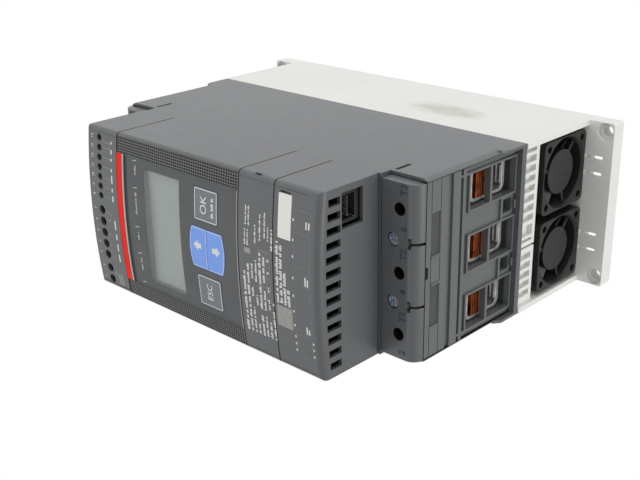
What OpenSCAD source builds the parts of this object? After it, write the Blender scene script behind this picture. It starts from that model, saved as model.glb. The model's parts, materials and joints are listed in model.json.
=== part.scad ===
/* [Base] */
// Side of one square fan cartridge
fan_size = 38.6; // [36:0.2:40]
// Length of a fan cartridge along the air flow
fan_t = 15; // [12:0.5:20]
// Thickness of the side walls of the pale base
base_wall = 2.95; // [2.2:0.05:4]
// Depth of the pale base from the mounting plane
base_d = 66; // [64:1:76]
// Height of the pale base between the flange ears
base_h = 216; // [210:1:230]
// Height of each flange ear beyond the base
ear_h = 14.5; // [13:0.5:20]
// Thickness of the mounting flange
flange_t = 9.3; // [7:0.1:10]
// Diameter of the four mounting holes
mount_hole_d = 5.4; // [4.2:0.1:6.4]
// Distance of the mounting holes from the flange's side edges
mount_inset_x = 5; // [4.8:0.1:8]
// Distance of the mounting holes from the flange's end edges
mount_inset_z = 5; // [4.8:0.1:6]
// Thickness of the heat sink's plate
sink_plate_t = 10; // [6:0.5:12]
// Thickness of one cooling fin
fin_t = 1.6; // [1.2:0.1:2.4]
// Distance between cooling fins
fin_pitch = 4.4; // [3.6:0.1:6]

/* [Power section] */
// Depth of the power section in front of the base
power_d = 80; // [76:1:90]
// Setback of the power section's ends from the base's ends
power_inset = 3; // [1:0.5:5]
// Height of the terminal step at each end of the power section
terminal_step = 21; // [20:0.5:24]
// Rounding of the terminal step's outer edge
end_r = 6; // [4:0.5:8]
// Thickness of the power section's side walls beside the terminals
side_wall = 1.6; // [1.2:0.1:2]
// Distance between phases
phase_pitch = 30.6; // [29.4:0.2:31.4]
// Width of a wire entry window
window_w = 17.5; // [17.2:0.1:18.4]
// Width of a busbar
bar_w = 13; // [10:0.5:13.4]
// Thickness of a busbar
bar_t = 8.5; // [6:0.5:9]
// Depth of the wire space behind a busbar when its clamp is open
wire_space = 13; // [11:0.5:14]
// Diameter of a clamp screw's shank
clamp_screw_d = 6; // [5:0.5:7]
// Travel of a clamp cage from open to closed
clamp_travel = 7.5; // [6:0.5:8]
// Diameter of the screwdriver holes in the terminal covers
tool_hole_d = 6.2; // [5.6:0.2:8]

/* [Control section] */
// Depth of the control section at its side walls
control_d = 37; // [35:1:44]
// Rise of the convex front above its two long edges
front_rise = 3; // [2:0.5:4]
// Wall thickness of the front mouldings
shell_wall = 2.2; // [1.8:0.1:2.6]
// Rounding of the front's long edges
edge_r = 2.4; // [1:0.2:3.4]
// Rounding of the front's lower end edge
nose_r = 3.6; // [2:0.2:4.4]
// Rounding of the front's upper end edge
top_r = 1; // [0.6:0.1:3]
// Height of the control terminal strip
strip_h = 25.2; // [23:0.1:26]
// Height of the operator panel
hmi_h = 92; // [90:1:94]
// Height of the label panel
label_h = 23; // [20:0.5:26]
// Width of the display opening
display_w = 61; // [56:0.5:64]
// Height of the display opening
display_h = 27.5; // [24:0.5:28]
// Width of the select and exit keys
key_w = 16.2; // [14:0.2:17]
// Height of the select and exit keys
key_h = 16.6; // [14:0.2:18]
// Width of the arrow pad
pad_w = 20.8; // [18:0.2:22]
// Height of the arrow pad at its sides
pad_h = 21.4; // [18:0.2:22]
// Travel of the keys
key_travel = 0.6; // [0.4:0.1:0.8]
// Diameter of the screw holes of the right-hand control terminals
term_hole_d = 3.6; // [3:0.1:4]
// Diameter of the screw holes of the other control terminals
term_wide_d = 4.8; // [4:0.1:5.2]

/* [Fits] */
// Gap at the seams between fixed mouldings
seam = 0.3; // [0.2:0.05:0.4]
// Gap between a fan cartridge and the flange that it stands on
fan_clear = 0.3; // [0.2:0.05:0.5]
// Gap around the keys
key_clear = 0.2; // [0.15:0.05:0.4]
// Radial clearance of shafts and clamp screws
running_fit = 0.05; // [0.02:0.01:0.08]

/* [Hidden] */
$fn = 64;
cut = 1;
min_r = 0.4;

// Gaps between the fans, beside them and in front of them
fan_split = 3.8;
fan_side = 1.55;
fan_head = 3.3;

// Overall sizes, with depth counted forwards from the mounting plane
duct_w = 2 * fan_size + fan_split + 2 * fan_side;
unit_w = duct_w + 2 * base_wall;
half_w = unit_w / 2;
flange_h = base_h + 2 * ear_h;
power_h = base_h - 2 * power_inset;
control_h = power_h - 2 * terminal_step;
power_front = base_d + power_d;
control_front = power_front + control_d;
front_apex = control_front + front_rise;
front_r = (half_w * half_w + front_rise * front_rise) / (2 * front_rise);
front_axis = front_apex - front_r;

// Base details
back_wall = 3;
flange_r = 1.5;
counterbore_r = mount_hole_d / 2 + 2;
counterbore_t = 3;
ear_skin = 2.4;
ear_rib = 2.5;
tongue_w = 8.8;
tongue_slot = 2.2;
tongue_h = 9;
comb_inset = 2.5;
comb_t = 5;
comb_depth = 3;
comb_pitch = 5.15;
comb_slot = 3.2;
comb_margin = 2.4;
comb_edge = 0.1;
grille_t = 2.4;
grille_slot = 3.6;
grille_pitch = 5.6;
grille_margin = 2;
fan_pitch = fan_size + fan_split;
fan_floor = flange_t + fan_clear;
fan_axis = fan_floor + fan_size / 2;
fan_top = fan_floor + fan_size + fan_head;
base_low = -base_h / 2;
fan_inset = 1;
fan_face = base_low + fan_inset;
comb_face = base_low + comb_inset;
mount_x = half_w - mount_inset_x;
mount_z = flange_h / 2 - mount_inset_z;
sink_clear = 0.3;
sink_gap = 2;
sink_low = fan_face + fan_t + sink_gap;
sink_high = base_h / 2 - grille_t - sink_clear;

// Fan details, with the outer face at zero and the axis at the origin
fan_corner_r = 3.4;
fan_rim = 1.5;
fan_bore_r = fan_size / 2 - fan_rim;
fan_hole_r = 1.8;
fan_hole_at = fan_size / 2 - 4;
hub_r = 11.8;
hub_inset = 2.2;
hub_t = 2.6;
strut_w = 2;
strut_t = 1.4;
strut_inset = 0.8;
strut_n = 3;
strut_turn = 42;
mouth_w = 0.9;
mouth_t = 1.6;
bearing_r = 1.5;
bearing_skin = 1;
rotor_gap = 0.5;
rotor_setback = 0.6;
rotor_hub_r = hub_r - rotor_setback;
rotor_low = hub_inset + hub_t + rotor_gap;
rotor_inset = 1;
rotor_h = fan_t - rotor_low - rotor_inset;
shaft_low = hub_inset + bearing_skin + rotor_gap;
blade_n = 7;
blade_t = 1.1;
blade_chord = 11;
blade_pitch = 38;
tip_gap = 0.5;

// Power section details
end_wall = 6;
cavity_half = control_h / 2 - end_wall;
wall_drop = 6.5;
wall_bevel_x = 1.2;
wall_bevel_z = 2.8;
cover_d = 16;
cover_wall = 3;
cover_w = unit_w - 2 * (side_wall + seam);
shroud_t = 3.5;
shroud_skin = 2.1;
shroud_in = power_h / 2 - shroud_t;
rim_t = 3.6;
rim_proud = 2.5;
rim_foot_w = 3;
rim_foot_d = 14.5;
rim_foot_slope = 3.5;
shroud_rear = base_d + rim_t + seam;
shroud_front = power_front - end_r - seam;
shroud_face = -power_h / 2;
window_rim = 1.1;
chamber_rear = base_d + rim_t + min_r;
chamber_side = 0.3;
chamber_w = window_w + 2 * chamber_side;
terminal_inset = 10.3;
terminal_z = power_h / 2 - terminal_inset;
cover_screw_offset = 3.9;
cover_screw_z = terminal_z - cover_screw_offset;
screw_head_r = 3;
screw_head_t = 2.2;
screw_head_fit = 0.5;
screw_shank_r = 1.5;
screw_shank_fit = 0.1;
screw_recess = 3.4;
screw_bite = 12;
cross_l = 3.8;
cross_w = 0.9;
cross_t = 1.3;
slit_w = 1.2;
slit_bar = 5.2;
slit_bar_t = 2;
slit_reach = 3.8;
tool_wall = 1.6;
latch_l = 10;
latch_w = 1.8;
latch_setback = 8.8;
latch_gap = 0.5;
latch_deep = 0.4;

// Clamp details
module_t = 23;
bar_rear = base_d + module_t;
bar_front = bar_rear + bar_t;
bar_gap = 0.7;
bar_end = shroud_in - bar_gap;
bar_root = 16;
laminations = 6;
lamination_cut = 0.4;
lamination_depth = 3;
cage_side = 1.6;
cage_fit = 0.3;
cage_end = 2.5;
cage_h = 11;
cage_r = 4;
cage_in_r = 2.2;
cage_rear = bar_rear - wire_space - cage_end;
cage_play = 2;
cage_front = bar_front + cage_play + cage_end;
cage_w = bar_w + 2 * (cage_fit + cage_side);
tooth_r = 0.5;
tooth_n = 5;
screw_r = clamp_screw_d / 2;
screw_tip = bar_front + cage_fit;
screw_stop = 1.2;
screw_head = cage_front + clamp_travel + screw_stop;
clamp_head_rim = 1.8;
clamp_head_r = screw_r + clamp_head_rim;
clamp_head_t = 7;
hex_rim = 2;
hex_r = clamp_head_r - hex_rim;
hex_t = 4;
window_rear = shroud_rear + window_rim;
window_step = 1.2;
window_split = bar_rear + window_step;
window_bar = 1.6;
window_room = 10;
window_front = bar_front + window_room;

// Shroud details, the first group counted forwards from the windows, the second back from the front edge
bead_start = 3.7;
bead_w = 2;
rail_start = 7.5;
rail_w = 5.6;
panel_start = 16.1;
panel_drop = 0.5;
groove_w = 0.4;
groove_t = 0.4;
groove_front = 4.2;
groove_back = 10.9;
inlay_w = 20.4;
inlay_x = 17.7;
inlay_t = 0.8;
hook_w = 0.9;
hook_x = 6.6;
notch_w = 5.8;
notch_d = 2.6;
tongue_gap_w = 7;
tongue_gap_d = 9;
tongue_gap_t = 5;
tongue_start = 1.6;
tongue_bar = 1.5;
tab_w = 4.2;
tab_d = 1.3;
tab_proud = 0.4;
frame_half = phase_pitch + window_w / 2 + window_rim;

// Pieces inside the power section
inner_half = half_w - shell_wall - seam;
module_gap = 2;
module_w = min(phase_pitch - module_gap, 2 * (inner_half - phase_pitch));
module_h = 68;
module_foot = 8;
module_ledge = 4;
module_groove = 3;
relay_w = module_w - module_gap / 2;
relay_h = 60;
relay_t = 26;
relay_bridge = 6;
ct_w = module_w;
ct_h = 16;
ct_wall = 7;
ct_z = -54;
board_t = 1.6;
board_margin = 2;
board_r = 2;
power_board_h = 140;
power_board_rear = bar_front + relay_t;

// Control section details
control_shift = 1.2;
control_low = control_shift - control_h / 2;
control_high = control_shift + control_h / 2;
strip_low = control_high - strip_h;
hmi_low = strip_low - hmi_h;
label_low = hmi_low - label_h;
boss_h = 4;
boss_r = 3;
boss_inset_x = 12;
boss_inset_z = 22;
control_board_rear = power_front + boss_h;
control_board_front = control_board_rear + board_t;
control_board_h = control_h - 2 * (shell_wall + board_margin);
keypad_sunk = 16;
keypad_rear = front_apex - keypad_sunk;
keypad_front = keypad_rear + board_t;
field_recess = 0.5;
field_w = 70;
field_margin = 1.4;
band_rim = 1.4;
band_w = half_w - band_rim - field_w / 2;
band_x = (field_w + band_w) / 2;
band_margin = 1;
band_sunk = 0.35;
accent_w = field_w;
accent_h = 5;
accent_gap = 0.4;
accent_sunk = 0.9;
accent_proud = 0.3;
window_t = 1;
window_fit = 0.2;
lcd_sunk = 4.2;
lcd_front = front_apex - lcd_sunk;
collar = 1.5;
key_gap = 3.9;
key_pitch = (pad_w + key_w) / 2 + key_gap;
key_r = 0.8;
key_proud = 0.2;
key_lip = 0.8;
key_lip_t = 1.2;
key_stem = 2.4;
key_split = 0.3;
pad_bulge = 1.9;
pad_arc_r = (pad_w * pad_w / 4 + pad_bulge * pad_bulge) / (2 * pad_bulge);
key_skirt = front_axis + sqrt(pow(front_r - shell_wall, 2) - pow(key_pitch + key_w / 2 + key_lip, 2));
key_lip_front = key_skirt - seam;
key_back = key_lip_front - key_lip_t - key_stem;
switch_w = 6;
switch_gap = 0.2;
led_xs = [-29.5, -13.1, 1, 22];
led_w = 1.8;
led_h = 0.8;
led_fit = 0.15;

// The height that accent strip, display and arrow pad leave free is shared out around them
accent_band = accent_h + 2 * accent_gap;
free_h = hmi_h - accent_band - display_h - pad_h - 2 * pad_bulge;
led_share = 0.476;
led_band = led_share * free_h;
key_share = 0.31;
key_band = key_share * free_h;
display_z = strip_low - accent_band - led_band - display_h / 2;
key_z = hmi_low + key_band + pad_bulge + pad_h / 2;
led_drop = 0.56;
led_z = strip_low - accent_band - led_drop * led_band;

// Lower end of the control section
marker_w = 20.4;
marker_h = 8;
marker_sunk = 0.8;
marker_proud = 0.15;
marker_margin = 4.8;
marker_x = half_w - marker_margin - marker_w / 2;
marker_drop = 3;
marker_z = label_low - marker_drop - marker_h / 2;
grip_w = 2.4;
grip_h = 6;
grip_sunk = 1.6;
vent_n = 13;
vent_pitch = 6.5;
vent_w = 3.5;
vent_setback = 5.1;
vent_reach = 14.7;
vent_rear = front_apex - vent_reach;
bus_margin = 3.3;
bus_w = 16.6;
bus_d = 13.8;
bus_x = half_w - bus_margin - bus_w / 2;
bus_setback = 10.6;
bus_rear = power_front + bus_setback;
socket_fit = 1;
socket_wall = 1.7;
socket_back = 10;
socket_floor = 4;
socket_gap = 0.6;
pin_margin = 2.5;
pin_n = 10;
pin_r = 0.35;
pin_l = 4;
release_l = 4.2;
release_t = 1.3;
release_w = 1.4;
release_setback = 0.8;
release_z = 9.2;

// Control terminals: three groups with their own pitch, counted from the right
term_margin = 5.2;
term_groups = [7, 5, 2];
term_pitches = [5.2, 6.45, 6.7];
term_group_gap = 8;
term_inset = 10;
term_z = control_high - term_inset;
term_block_margin = 6;
term_block_low = strip_low + term_block_margin;
term_block_high = control_high - shell_wall - seam;
term_sunk = 7;
term_block_front = control_front - term_sunk;
term_block_w = unit_w - 2 * (shell_wall + seam);
term_well = 12;
term_floor = term_block_front - term_well;
term_lip = 0.4;
term_screw_fit = 0.1;
term_screw_t = 7;
term_slot_w = 0.6;
term_slot_t = 0.8;
wire_hole_r = 1.8;
wire_setback = 16;
wire_depth = control_front - wire_setback;
wire_reach = 4;

function group_start(g) = g == 0
    ? half_w - term_margin
    : group_start(g - 1) - (term_groups[g - 1] - 1) * term_pitches[g - 1] - term_group_gap;
term_ds = [term_hole_d, term_wide_d, term_wide_d];
terms = [
    for (g = [0:2])
        for (i = [0:term_groups[g] - 1])
            [group_start(g) - i * term_pitches[g], term_ds[g] / 2]
];

dark = [0.34, 0.35, 0.36];
pale = [0.86, 0.87, 0.85];
black = [0.13, 0.13, 0.14];
zinc = [0.75, 0.76, 0.78];
copper = [0.72, 0.40, 0.22];
board_green = [0.10, 0.35, 0.22];
key_grey = [0.43, 0.46, 0.48];
pad_blue = [0.38, 0.53, 0.82];

// Shared shapes

// Block of width w about x, from depth d0 to d1 and from height z0 to z1
module brick(w, d0, d1, z0, z1, x = 0) {
    translate([x - w / 2, -d1, z0]) cube([w, d1 - d0, z1 - z0]);
}

module rounded_rect(w, h, r) {
    square([w - 2 * r, h], center = true);
    square([w, h - 2 * r], center = true);
    for (sx = [-1, 1], sy = [-1, 1])
        translate([sx * (w / 2 - r), sy * (h / 2 - r)]) circle(r);
}

// Flat shape in width and height, carried forwards from depth d0 to d1
module along_depth(d0, d1) {
    translate([0, -d0, 0]) rotate([90, 0, 0]) linear_extrude(d1 - d0) children();
}

// Flat shape in width and depth, carried up from z0 to z1
module along_height(z0, z1) {
    translate([0, 0, z0]) linear_extrude(z1 - z0) children();
}

// Flat shape in depth and height, carried across the width w
module along_width(w) {
    rotate([90, 0, 90]) translate([0, 0, -w / 2]) linear_extrude(w) children();
}

// Round hole or pin along the depth
module rod(x, z, r, d0, d1) {
    translate([x, -d0, z]) rotate([90, 0, 0]) cylinder(r = r, h = d1 - d0);
}

// The load end is drawn at the bottom, and the line end is its mirror image
module at_end(end) {
    if (end == "load") children();
    else mirror([0, 0, 1]) children();
}

function phase_x(phase) = (phase - 2) * phase_pitch;

// Base and cooling

module base_housing() {
    color(pale)
    difference() {
        union() {
            along_depth(0, flange_t) rounded_rect(unit_w, flange_h, flange_r);
            brick(unit_w, 0, base_d, base_low, base_h / 2);
        }
        brick(duct_w, back_wall, base_d + cut, comb_face + comb_t, base_h / 2 - grille_t);
        brick(duct_w, flange_t, fan_top, base_low - cut, comb_face + comb_t + cut);
        brick(duct_w, fan_top - cut, base_d + cut, base_low - cut, comb_face);
        comb_slots();
        outlet_slots();
        mounting_holes();
        ear_pockets();
        fan_tongues();
    }
}

// Strip with blind pockets between the fans and the power section, split into two halves
module comb_slots() {
    x0 = duct_w / 2 - comb_slot / 2 - comb_edge;
    upper = 8;
    split = 10;
    last = floor((duct_w - comb_slot) / comb_pitch);
    for (i = [0:last])
        if (i < upper || i > split)
            comb_pocket(comb_slot, x0 - i * comb_pitch);
    comb_pocket(1.8 * comb_slot, x0 - (upper + 0.3) * comb_pitch);
    comb_pocket(0.45 * comb_slot, x0 - (upper + 1.3) * comb_pitch);
    brick(0.35 * comb_slot, fan_top - cut, base_d + cut, comb_face - cut, comb_face + comb_t + cut,
        x0 - split * comb_pitch);
}

module comb_pocket(w, x) {
    brick(w, fan_top + comb_margin, base_d - comb_margin, comb_face - cut, comb_face + comb_depth, x);
}

module outlet_slots() {
    n = floor((duct_w - grille_slot) / grille_pitch / 2);
    for (i = [-n:n])
        brick(grille_slot, flange_t + grille_margin, base_d - sink_plate_t - grille_margin,
            base_h / 2 - grille_t - cut, base_h / 2 + cut, i * grille_pitch);
}

module mounting_holes() {
    for (sx = [-1, 1], sz = [-1, 1]) {
        rod(sx * mount_x, sz * mount_z, mount_hole_d / 2, -cut, flange_t + cut);
        rod(sx * mount_x, sz * mount_z, counterbore_r, flange_t - counterbore_t, flange_t + cut);
    }
}

// Moulding pockets at the back of the flange ears
module ear_pockets() {
    w = 2 * (mount_x - counterbore_r - ear_rib);
    for (s = [-1, 1])
        along_depth(-cut, flange_t - ear_skin)
            translate([0, s * (base_h + ear_h - ear_rib) / 2])
                rounded_rect(w, ear_h - ear_rib, flange_r);
}

// Slots that free the snap tongues below the fans
module fan_tongues() {
    for (sx = [-1, 1], st = [-1, 1])
        brick(tongue_slot, -cut, flange_t + cut, base_low - tongue_h, base_low + cut,
            sx * fan_pitch / 2 + st * tongue_w / 2);
}

module heat_sink() {
    w = duct_w - 2 * sink_clear;
    n = floor((w - fin_t) / fin_pitch / 2);
    color(zinc)
    along_height(sink_low, sink_high) {
        translate([-w / 2, -base_d]) square([w, sink_plate_t]);
        for (i = [-n:n])
            translate([i * fin_pitch - fin_t / 2, -base_d + sink_plate_t / 2])
                square([fin_t, base_d - sink_plate_t / 2 - back_wall - sink_clear]);
    }
}

module at_fan(side) {
    translate([side * fan_pitch / 2, -fan_axis, fan_face]) children();
}

module fan_frame(side) {
    color(black)
    at_fan(side)
    difference() {
        union() {
            difference() {
                linear_extrude(fan_t) rounded_rect(fan_size, fan_size, fan_corner_r);
                translate([0, 0, -cut]) cylinder(r = fan_bore_r, h = fan_t + 2 * cut);
                translate([0, 0, -cut]) cylinder(r = fan_bore_r + mouth_w, h = cut + min_r);
                translate([0, 0, min_r])
                    cylinder(r1 = fan_bore_r + mouth_w, r2 = fan_bore_r, h = mouth_t - min_r);
            }
            translate([0, 0, hub_inset]) stator();
        }
        for (sx = [-1, 1], sy = [-1, 1])
            translate([sx * fan_hole_at, sy * fan_hole_at, -cut])
                cylinder(r = fan_hole_r, h = fan_t + 2 * cut);
        translate([0, 0, hub_inset + bearing_skin]) cylinder(r = bearing_r, h = hub_t);
    }
}

// Fixed disc that carries the motor, held by struts
module stator() {
    cylinder(r = hub_r, h = hub_t);
    for (i = [0:strut_n - 1])
        rotate(strut_turn + i * 360 / strut_n)
            translate([hub_r / 2, -strut_w / 2, strut_inset])
                cube([fan_bore_r + fan_rim / 2 - hub_r / 2, strut_w, strut_t]);
}

module fan_rotor(side) {
    color(black)
    at_fan(side) {
        translate([0, 0, rotor_low]) cylinder(r = rotor_hub_r, h = rotor_h);
        translate([0, 0, shaft_low])
            cylinder(r = bearing_r - running_fit, h = rotor_low + rotor_h / 2 - shaft_low);
        intersection() {
            translate([0, 0, rotor_low]) cylinder(r = fan_bore_r - tip_gap, h = rotor_h);
            for (i = [0:blade_n - 1]) rotate(i * 360 / blade_n) blade();
        }
    }
}

// One pitched blade, reaching out from inside the hub
module blade() {
    translate([rotor_hub_r / 2, 0, rotor_low + rotor_h / 2])
        rotate([blade_pitch, 0, 0])
            translate([0, -blade_chord / 2, -blade_t / 2])
                cube([fan_bore_r, blade_chord, blade_t]);
}

// Power section

// Side outline with both outer front corners rounded
module power_outline() {
    translate([-power_front, end_r - power_h / 2]) square([power_d, power_h - 2 * end_r]);
    translate([end_r - power_front, -power_h / 2]) square([power_d - end_r, power_h]);
    for (s = [-1, 1])
        translate([end_r - power_front, s * (power_h / 2 - end_r)]) circle(end_r);
}

module main_housing() {
    color(dark)
    difference() {
        union() {
            along_width(unit_w) power_outline();
            for (end = ["line", "load"]) at_end(end) rear_rim();
            board_bosses();
        }
        brick(unit_w - 2 * shell_wall, base_d - cut, power_front - shell_wall, -cavity_half, cavity_half);
        for (end = ["line", "load"]) at_end(end) {
            terminal_seat();
            wall_bevels();
        }
    }
}

// Rim that stands proud around the rear of each terminal end, with a sloped foot at both sides
module rear_rim() {
    low = shroud_face - rim_proud;
    high = shroud_face + wall_bevel_z + cut;
    foot = base_d + rim_foot_d;
    brick(unit_w, base_d, base_d + rim_t, low, high);
    for (s = [-1, 1])
        translate([s * (half_w - rim_foot_w / 2), 0, 0])
            along_width(rim_foot_w)
                polygon([[-base_d, low], [-foot, low], [-foot - rim_foot_slope, shroud_face],
                    [-foot - rim_foot_slope, high], [-base_d, high]]);
}

// Bevels along the ends of the side walls, in front of the rim's feet
module wall_bevels() {
    for (m = [0, 1])
        mirror([m, 0, 0])
            along_depth(base_d + rim_foot_d + rim_foot_slope, power_front + cut)
                polygon([[half_w - wall_bevel_x, shroud_face], [half_w, shroud_face + wall_bevel_z],
                    [half_w + cut, shroud_face + wall_bevel_z], [half_w + cut, shroud_face - cut],
                    [half_w - wall_bevel_x, shroud_face - cut]]);
}

module board_bosses() {
    for (sx = [-1, 1], sz = [-1, 1])
        rod(sx * (half_w - boss_inset_x), sz * (control_h / 2 - boss_inset_z), boss_r,
            power_front - cut, control_board_rear);
}

// Room for one end's cover, shroud, clamps and screws
module terminal_seat() {
    seat_w = unit_w - 2 * side_wall;
    brick(seat_w, power_front - cover_d, power_front + cut, shroud_face - cut, -control_h / 2);
    brick(unit_w + 2 * cut, power_front - wall_drop, power_front + cut, shroud_face - cut, -control_h / 2);
    brick(seat_w, base_d + rim_t, power_front, shroud_face - rim_proud - cut, -shroud_in);
    for (phase = [1:3])
        brick(chamber_w, chamber_rear, power_front - cover_d + cut, -shroud_in - cut, cut - cavity_half,
            phase_x(phase));
    for (s = [-1, 1]) {
        rod(s * phase_pitch / 2, -cover_screw_z, screw_shank_r,
            power_front - cover_d - screw_bite, power_front);
        brick(2 * (side_wall + latch_deep), power_front - latch_setback - latch_l,
            power_front - latch_setback, -control_h / 2 - latch_gap - latch_w, -control_h / 2 - latch_gap,
            s * half_w);
        brick(tongue_gap_w, shroud_rear + tongue_start, shroud_rear + tongue_start + tongue_gap_d,
            -shroud_in - cut, tongue_gap_t - shroud_in, s * phase_pitch / 2);
    }
}

// Side outline of one terminal cover at the load end
module cover_outline() {
    difference() {
        power_outline();
        translate([-power_front - cut, -control_h / 2 - seam]) square([power_d + 2 * cut, power_h]);
        translate([-power_front + cover_d, -power_h]) square([power_d, 2 * power_h]);
        translate([-shroud_front - seam, -power_h]) square([power_d, power_h - shroud_in + seam]);
    }
}

module terminal_cover(end) {
    rear = power_front - cover_d;
    color(dark)
    at_end(end)
    difference() {
        union() {
            difference() {
                along_width(cover_w) cover_outline();
                brick(cover_w - 2 * cover_wall, rear - cut, power_front - cover_wall,
                    -shroud_in + cover_wall, -control_h / 2 - seam - cover_wall);
            }
            for (phase = [1:3])
                rod(phase_x(phase), -terminal_z, tool_hole_d / 2 + tool_wall, rear, power_front - cut);
            for (s = [-1, 1])
                rod(s * phase_pitch / 2, -cover_screw_z, screw_head_r + screw_head_fit + tool_wall, rear,
                    power_front - cut);
        }
        for (phase = [1:3])
            rod(phase_x(phase), -terminal_z, tool_hole_d / 2, rear - cut, power_front + cut);
        for (s = [-1, 1]) {
            rod(s * phase_pitch / 2, -cover_screw_z, screw_head_r + screw_head_fit,
                power_front - screw_recess, power_front + cut);
            rod(s * phase_pitch / 2, -cover_screw_z, screw_shank_r + screw_shank_fit, rear - cut,
                power_front);
            translate([s * phase_pitch / 2, 0, 0]) cover_slit();
        }
    }
}

// T-shaped slit that lets a cover flex between two phases
module cover_slit() {
    root = power_h / 2 - slit_reach;
    brick(slit_w, power_front - end_r, power_front + cut, shroud_face - cut, -root);
    brick(slit_bar, power_front - cover_wall - cut, power_front + cut, -root, slit_bar_t - root);
}

module cover_screws() {
    color(zinc)
    for (end = ["line", "load"], s = [-1, 1])
        at_end(end) translate([s * phase_pitch / 2, 0, -cover_screw_z]) cover_screw();
}

module cover_screw() {
    seat = power_front - screw_recess;
    top = seat + screw_head_t;
    difference() {
        union() {
            rod(0, 0, screw_head_r, seat, top);
            rod(0, 0, screw_shank_r - running_fit, power_front - cover_d - screw_bite, seat + cut);
        }
        brick(cross_w, top - cross_t, top + cut, -cross_l / 2, cross_l / 2);
        brick(cross_l, top - cross_t, top + cut, -cross_w / 2, cross_w / 2);
    }
}

// Moulded end plate with two wire windows for each phase
module terminal_shroud(end) {
    color(dark)
    at_end(end)
    difference() {
        union() {
            brick(cover_w, shroud_rear, shroud_front, -shroud_in - shroud_skin, -shroud_in);
            for (phase = [1:3])
                brick(window_w + 2 * window_rim, shroud_rear, window_front + window_rim, shroud_face,
                    -shroud_in, phase_x(phase));
            shroud_rails();
            for (s = [-1, 1]) {
                shroud_tongue(s);
                brick(hook_w, shroud_front - groove_back, shroud_front - groove_front, shroud_face,
                    -shroud_in, s * hook_x);
            }
        }
        for (phase = [1:3]) {
            brick(window_w, window_rear, window_split, shroud_face - cut, cut - shroud_in, phase_x(phase));
            brick(window_w, window_split + window_bar, window_front, shroud_face - cut, cut - shroud_in,
                phase_x(phase));
        }
        for (s = [-1, 1])
            brick(tongue_gap_w, shroud_rear + tongue_start, shroud_rear + tongue_start + tongue_gap_d,
                shroud_face - tab_proud - cut, cut - shroud_in, s * phase_pitch / 2);
        panel_relief();
    }
}

// Bead, rail and front panel across the shroud, and the rims that run on from the outer windows
module shroud_rails() {
    rail = window_front + rail_start;
    bead = window_front + bead_start;
    brick(cover_w, bead, bead + bead_w, shroud_face, -shroud_in);
    brick(cover_w, rail, rail + rail_w, shroud_face, -shroud_in);
    brick(cover_w, window_front + panel_start, shroud_front, shroud_face + panel_drop, -shroud_in);
    for (s = [-1, 1])
        brick(window_rim, window_front, rail + rail_w, shroud_face, -shroud_in,
            s * (frame_half - window_rim / 2));
}

// Bar and tab at both sides of the snap tongue's opening between two phases
module shroud_tongue(s) {
    bar = shroud_rear + tongue_start + tongue_gap_d;
    brick(phase_pitch - window_w - window_rim, bar, bar + tongue_bar, shroud_face, -shroud_in,
        s * phase_pitch / 2);
    brick(tab_w, shroud_rear, shroud_rear + tab_d, shroud_face - tab_proud, -shroud_in, s * phase_pitch / 2);
}

// Fine grooves, two inlays and the centre notch of the front panel
module panel_relief() {
    floor_z = shroud_face + panel_drop;
    for (back = [groove_front, groove_back])
        brick(cover_w + 2 * cut, shroud_front - back - groove_w / 2, shroud_front - back + groove_w / 2,
            shroud_face - cut, floor_z + groove_t);
    for (s = [-1, 1])
        brick(inlay_w, shroud_front - groove_back, shroud_front - groove_front, shroud_face - cut,
            floor_z + inlay_t, s * inlay_x);
    brick(notch_w, shroud_front - notch_d, shroud_front + cut, shroud_face - cut, cut - shroud_in);
}

// Rectangular steel cage that is drawn forwards by its screw
module clamp_cage(end, phase) {
    z0 = -terminal_z - cage_h / 2;
    z1 = -terminal_z + cage_h / 2;
    color(zinc)
    at_end(end)
    translate([phase_x(phase), 0, 0])
    difference() {
        union() {
            along_height(z0, z1)
                difference() {
                    translate([0, -(cage_rear + cage_front) / 2])
                        rounded_rect(cage_w, cage_front - cage_rear, cage_r);
                    translate([0, -(cage_rear + cage_front) / 2])
                        rounded_rect(cage_w - 2 * cage_side, cage_front - cage_rear - 2 * cage_end,
                            cage_in_r);
                }
            for (i = [0:tooth_n - 1])
                translate([0, -cage_rear - cage_end, z0 + (i + 0.5) * cage_h / tooth_n])
                    rotate([0, 90, 0])
                        cylinder(r = tooth_r, h = cage_w - 2 * (cage_side + cage_in_r), center = true);
        }
        rod(0, -terminal_z, screw_r + running_fit, cage_front - cage_end - cut, cage_front + cut);
    }
}

module clamp_screw(end, phase) {
    color(zinc)
    at_end(end)
    translate([phase_x(phase), 0, -terminal_z])
    difference() {
        union() {
            rod(0, 0, screw_r, screw_tip, screw_head + cut);
            rod(0, 0, clamp_head_r, screw_head, screw_head + clamp_head_t);
        }
        along_depth(screw_head + clamp_head_t - hex_t, screw_head + clamp_head_t + cut)
            circle(hex_r, $fn = 6);
    }
}

// Laminated copper bar from a clamp to its semiconductor module
module busbar(end, phase) {
    step = bar_t / laminations;
    color(copper)
    at_end(end)
    translate([phase_x(phase), 0, 0])
    difference() {
        brick(bar_w, bar_rear, bar_front, -bar_end, -bar_root);
        for (i = [1:laminations - 1])
            brick(bar_w + 2 * cut, bar_rear + i * step - lamination_cut / 2,
                bar_rear + i * step + lamination_cut / 2, -bar_end - cut, lamination_depth - bar_end);
    }
}

module thyristor_module(phase) {
    color(black)
    translate([phase_x(phase), 0, 0])
    difference() {
        brick(module_w, base_d, bar_rear, -module_h / 2, module_h / 2);
        for (end = ["line", "load"]) at_end(end)
            brick(module_w + 2 * cut, base_d + module_foot, bar_rear + cut, -module_h / 2 - cut,
                module_ledge - module_h / 2);
        brick(module_w + 2 * cut, bar_rear - module_groove, bar_rear + cut, -bar_root / 2, bar_root / 2);
    }
}

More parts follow.
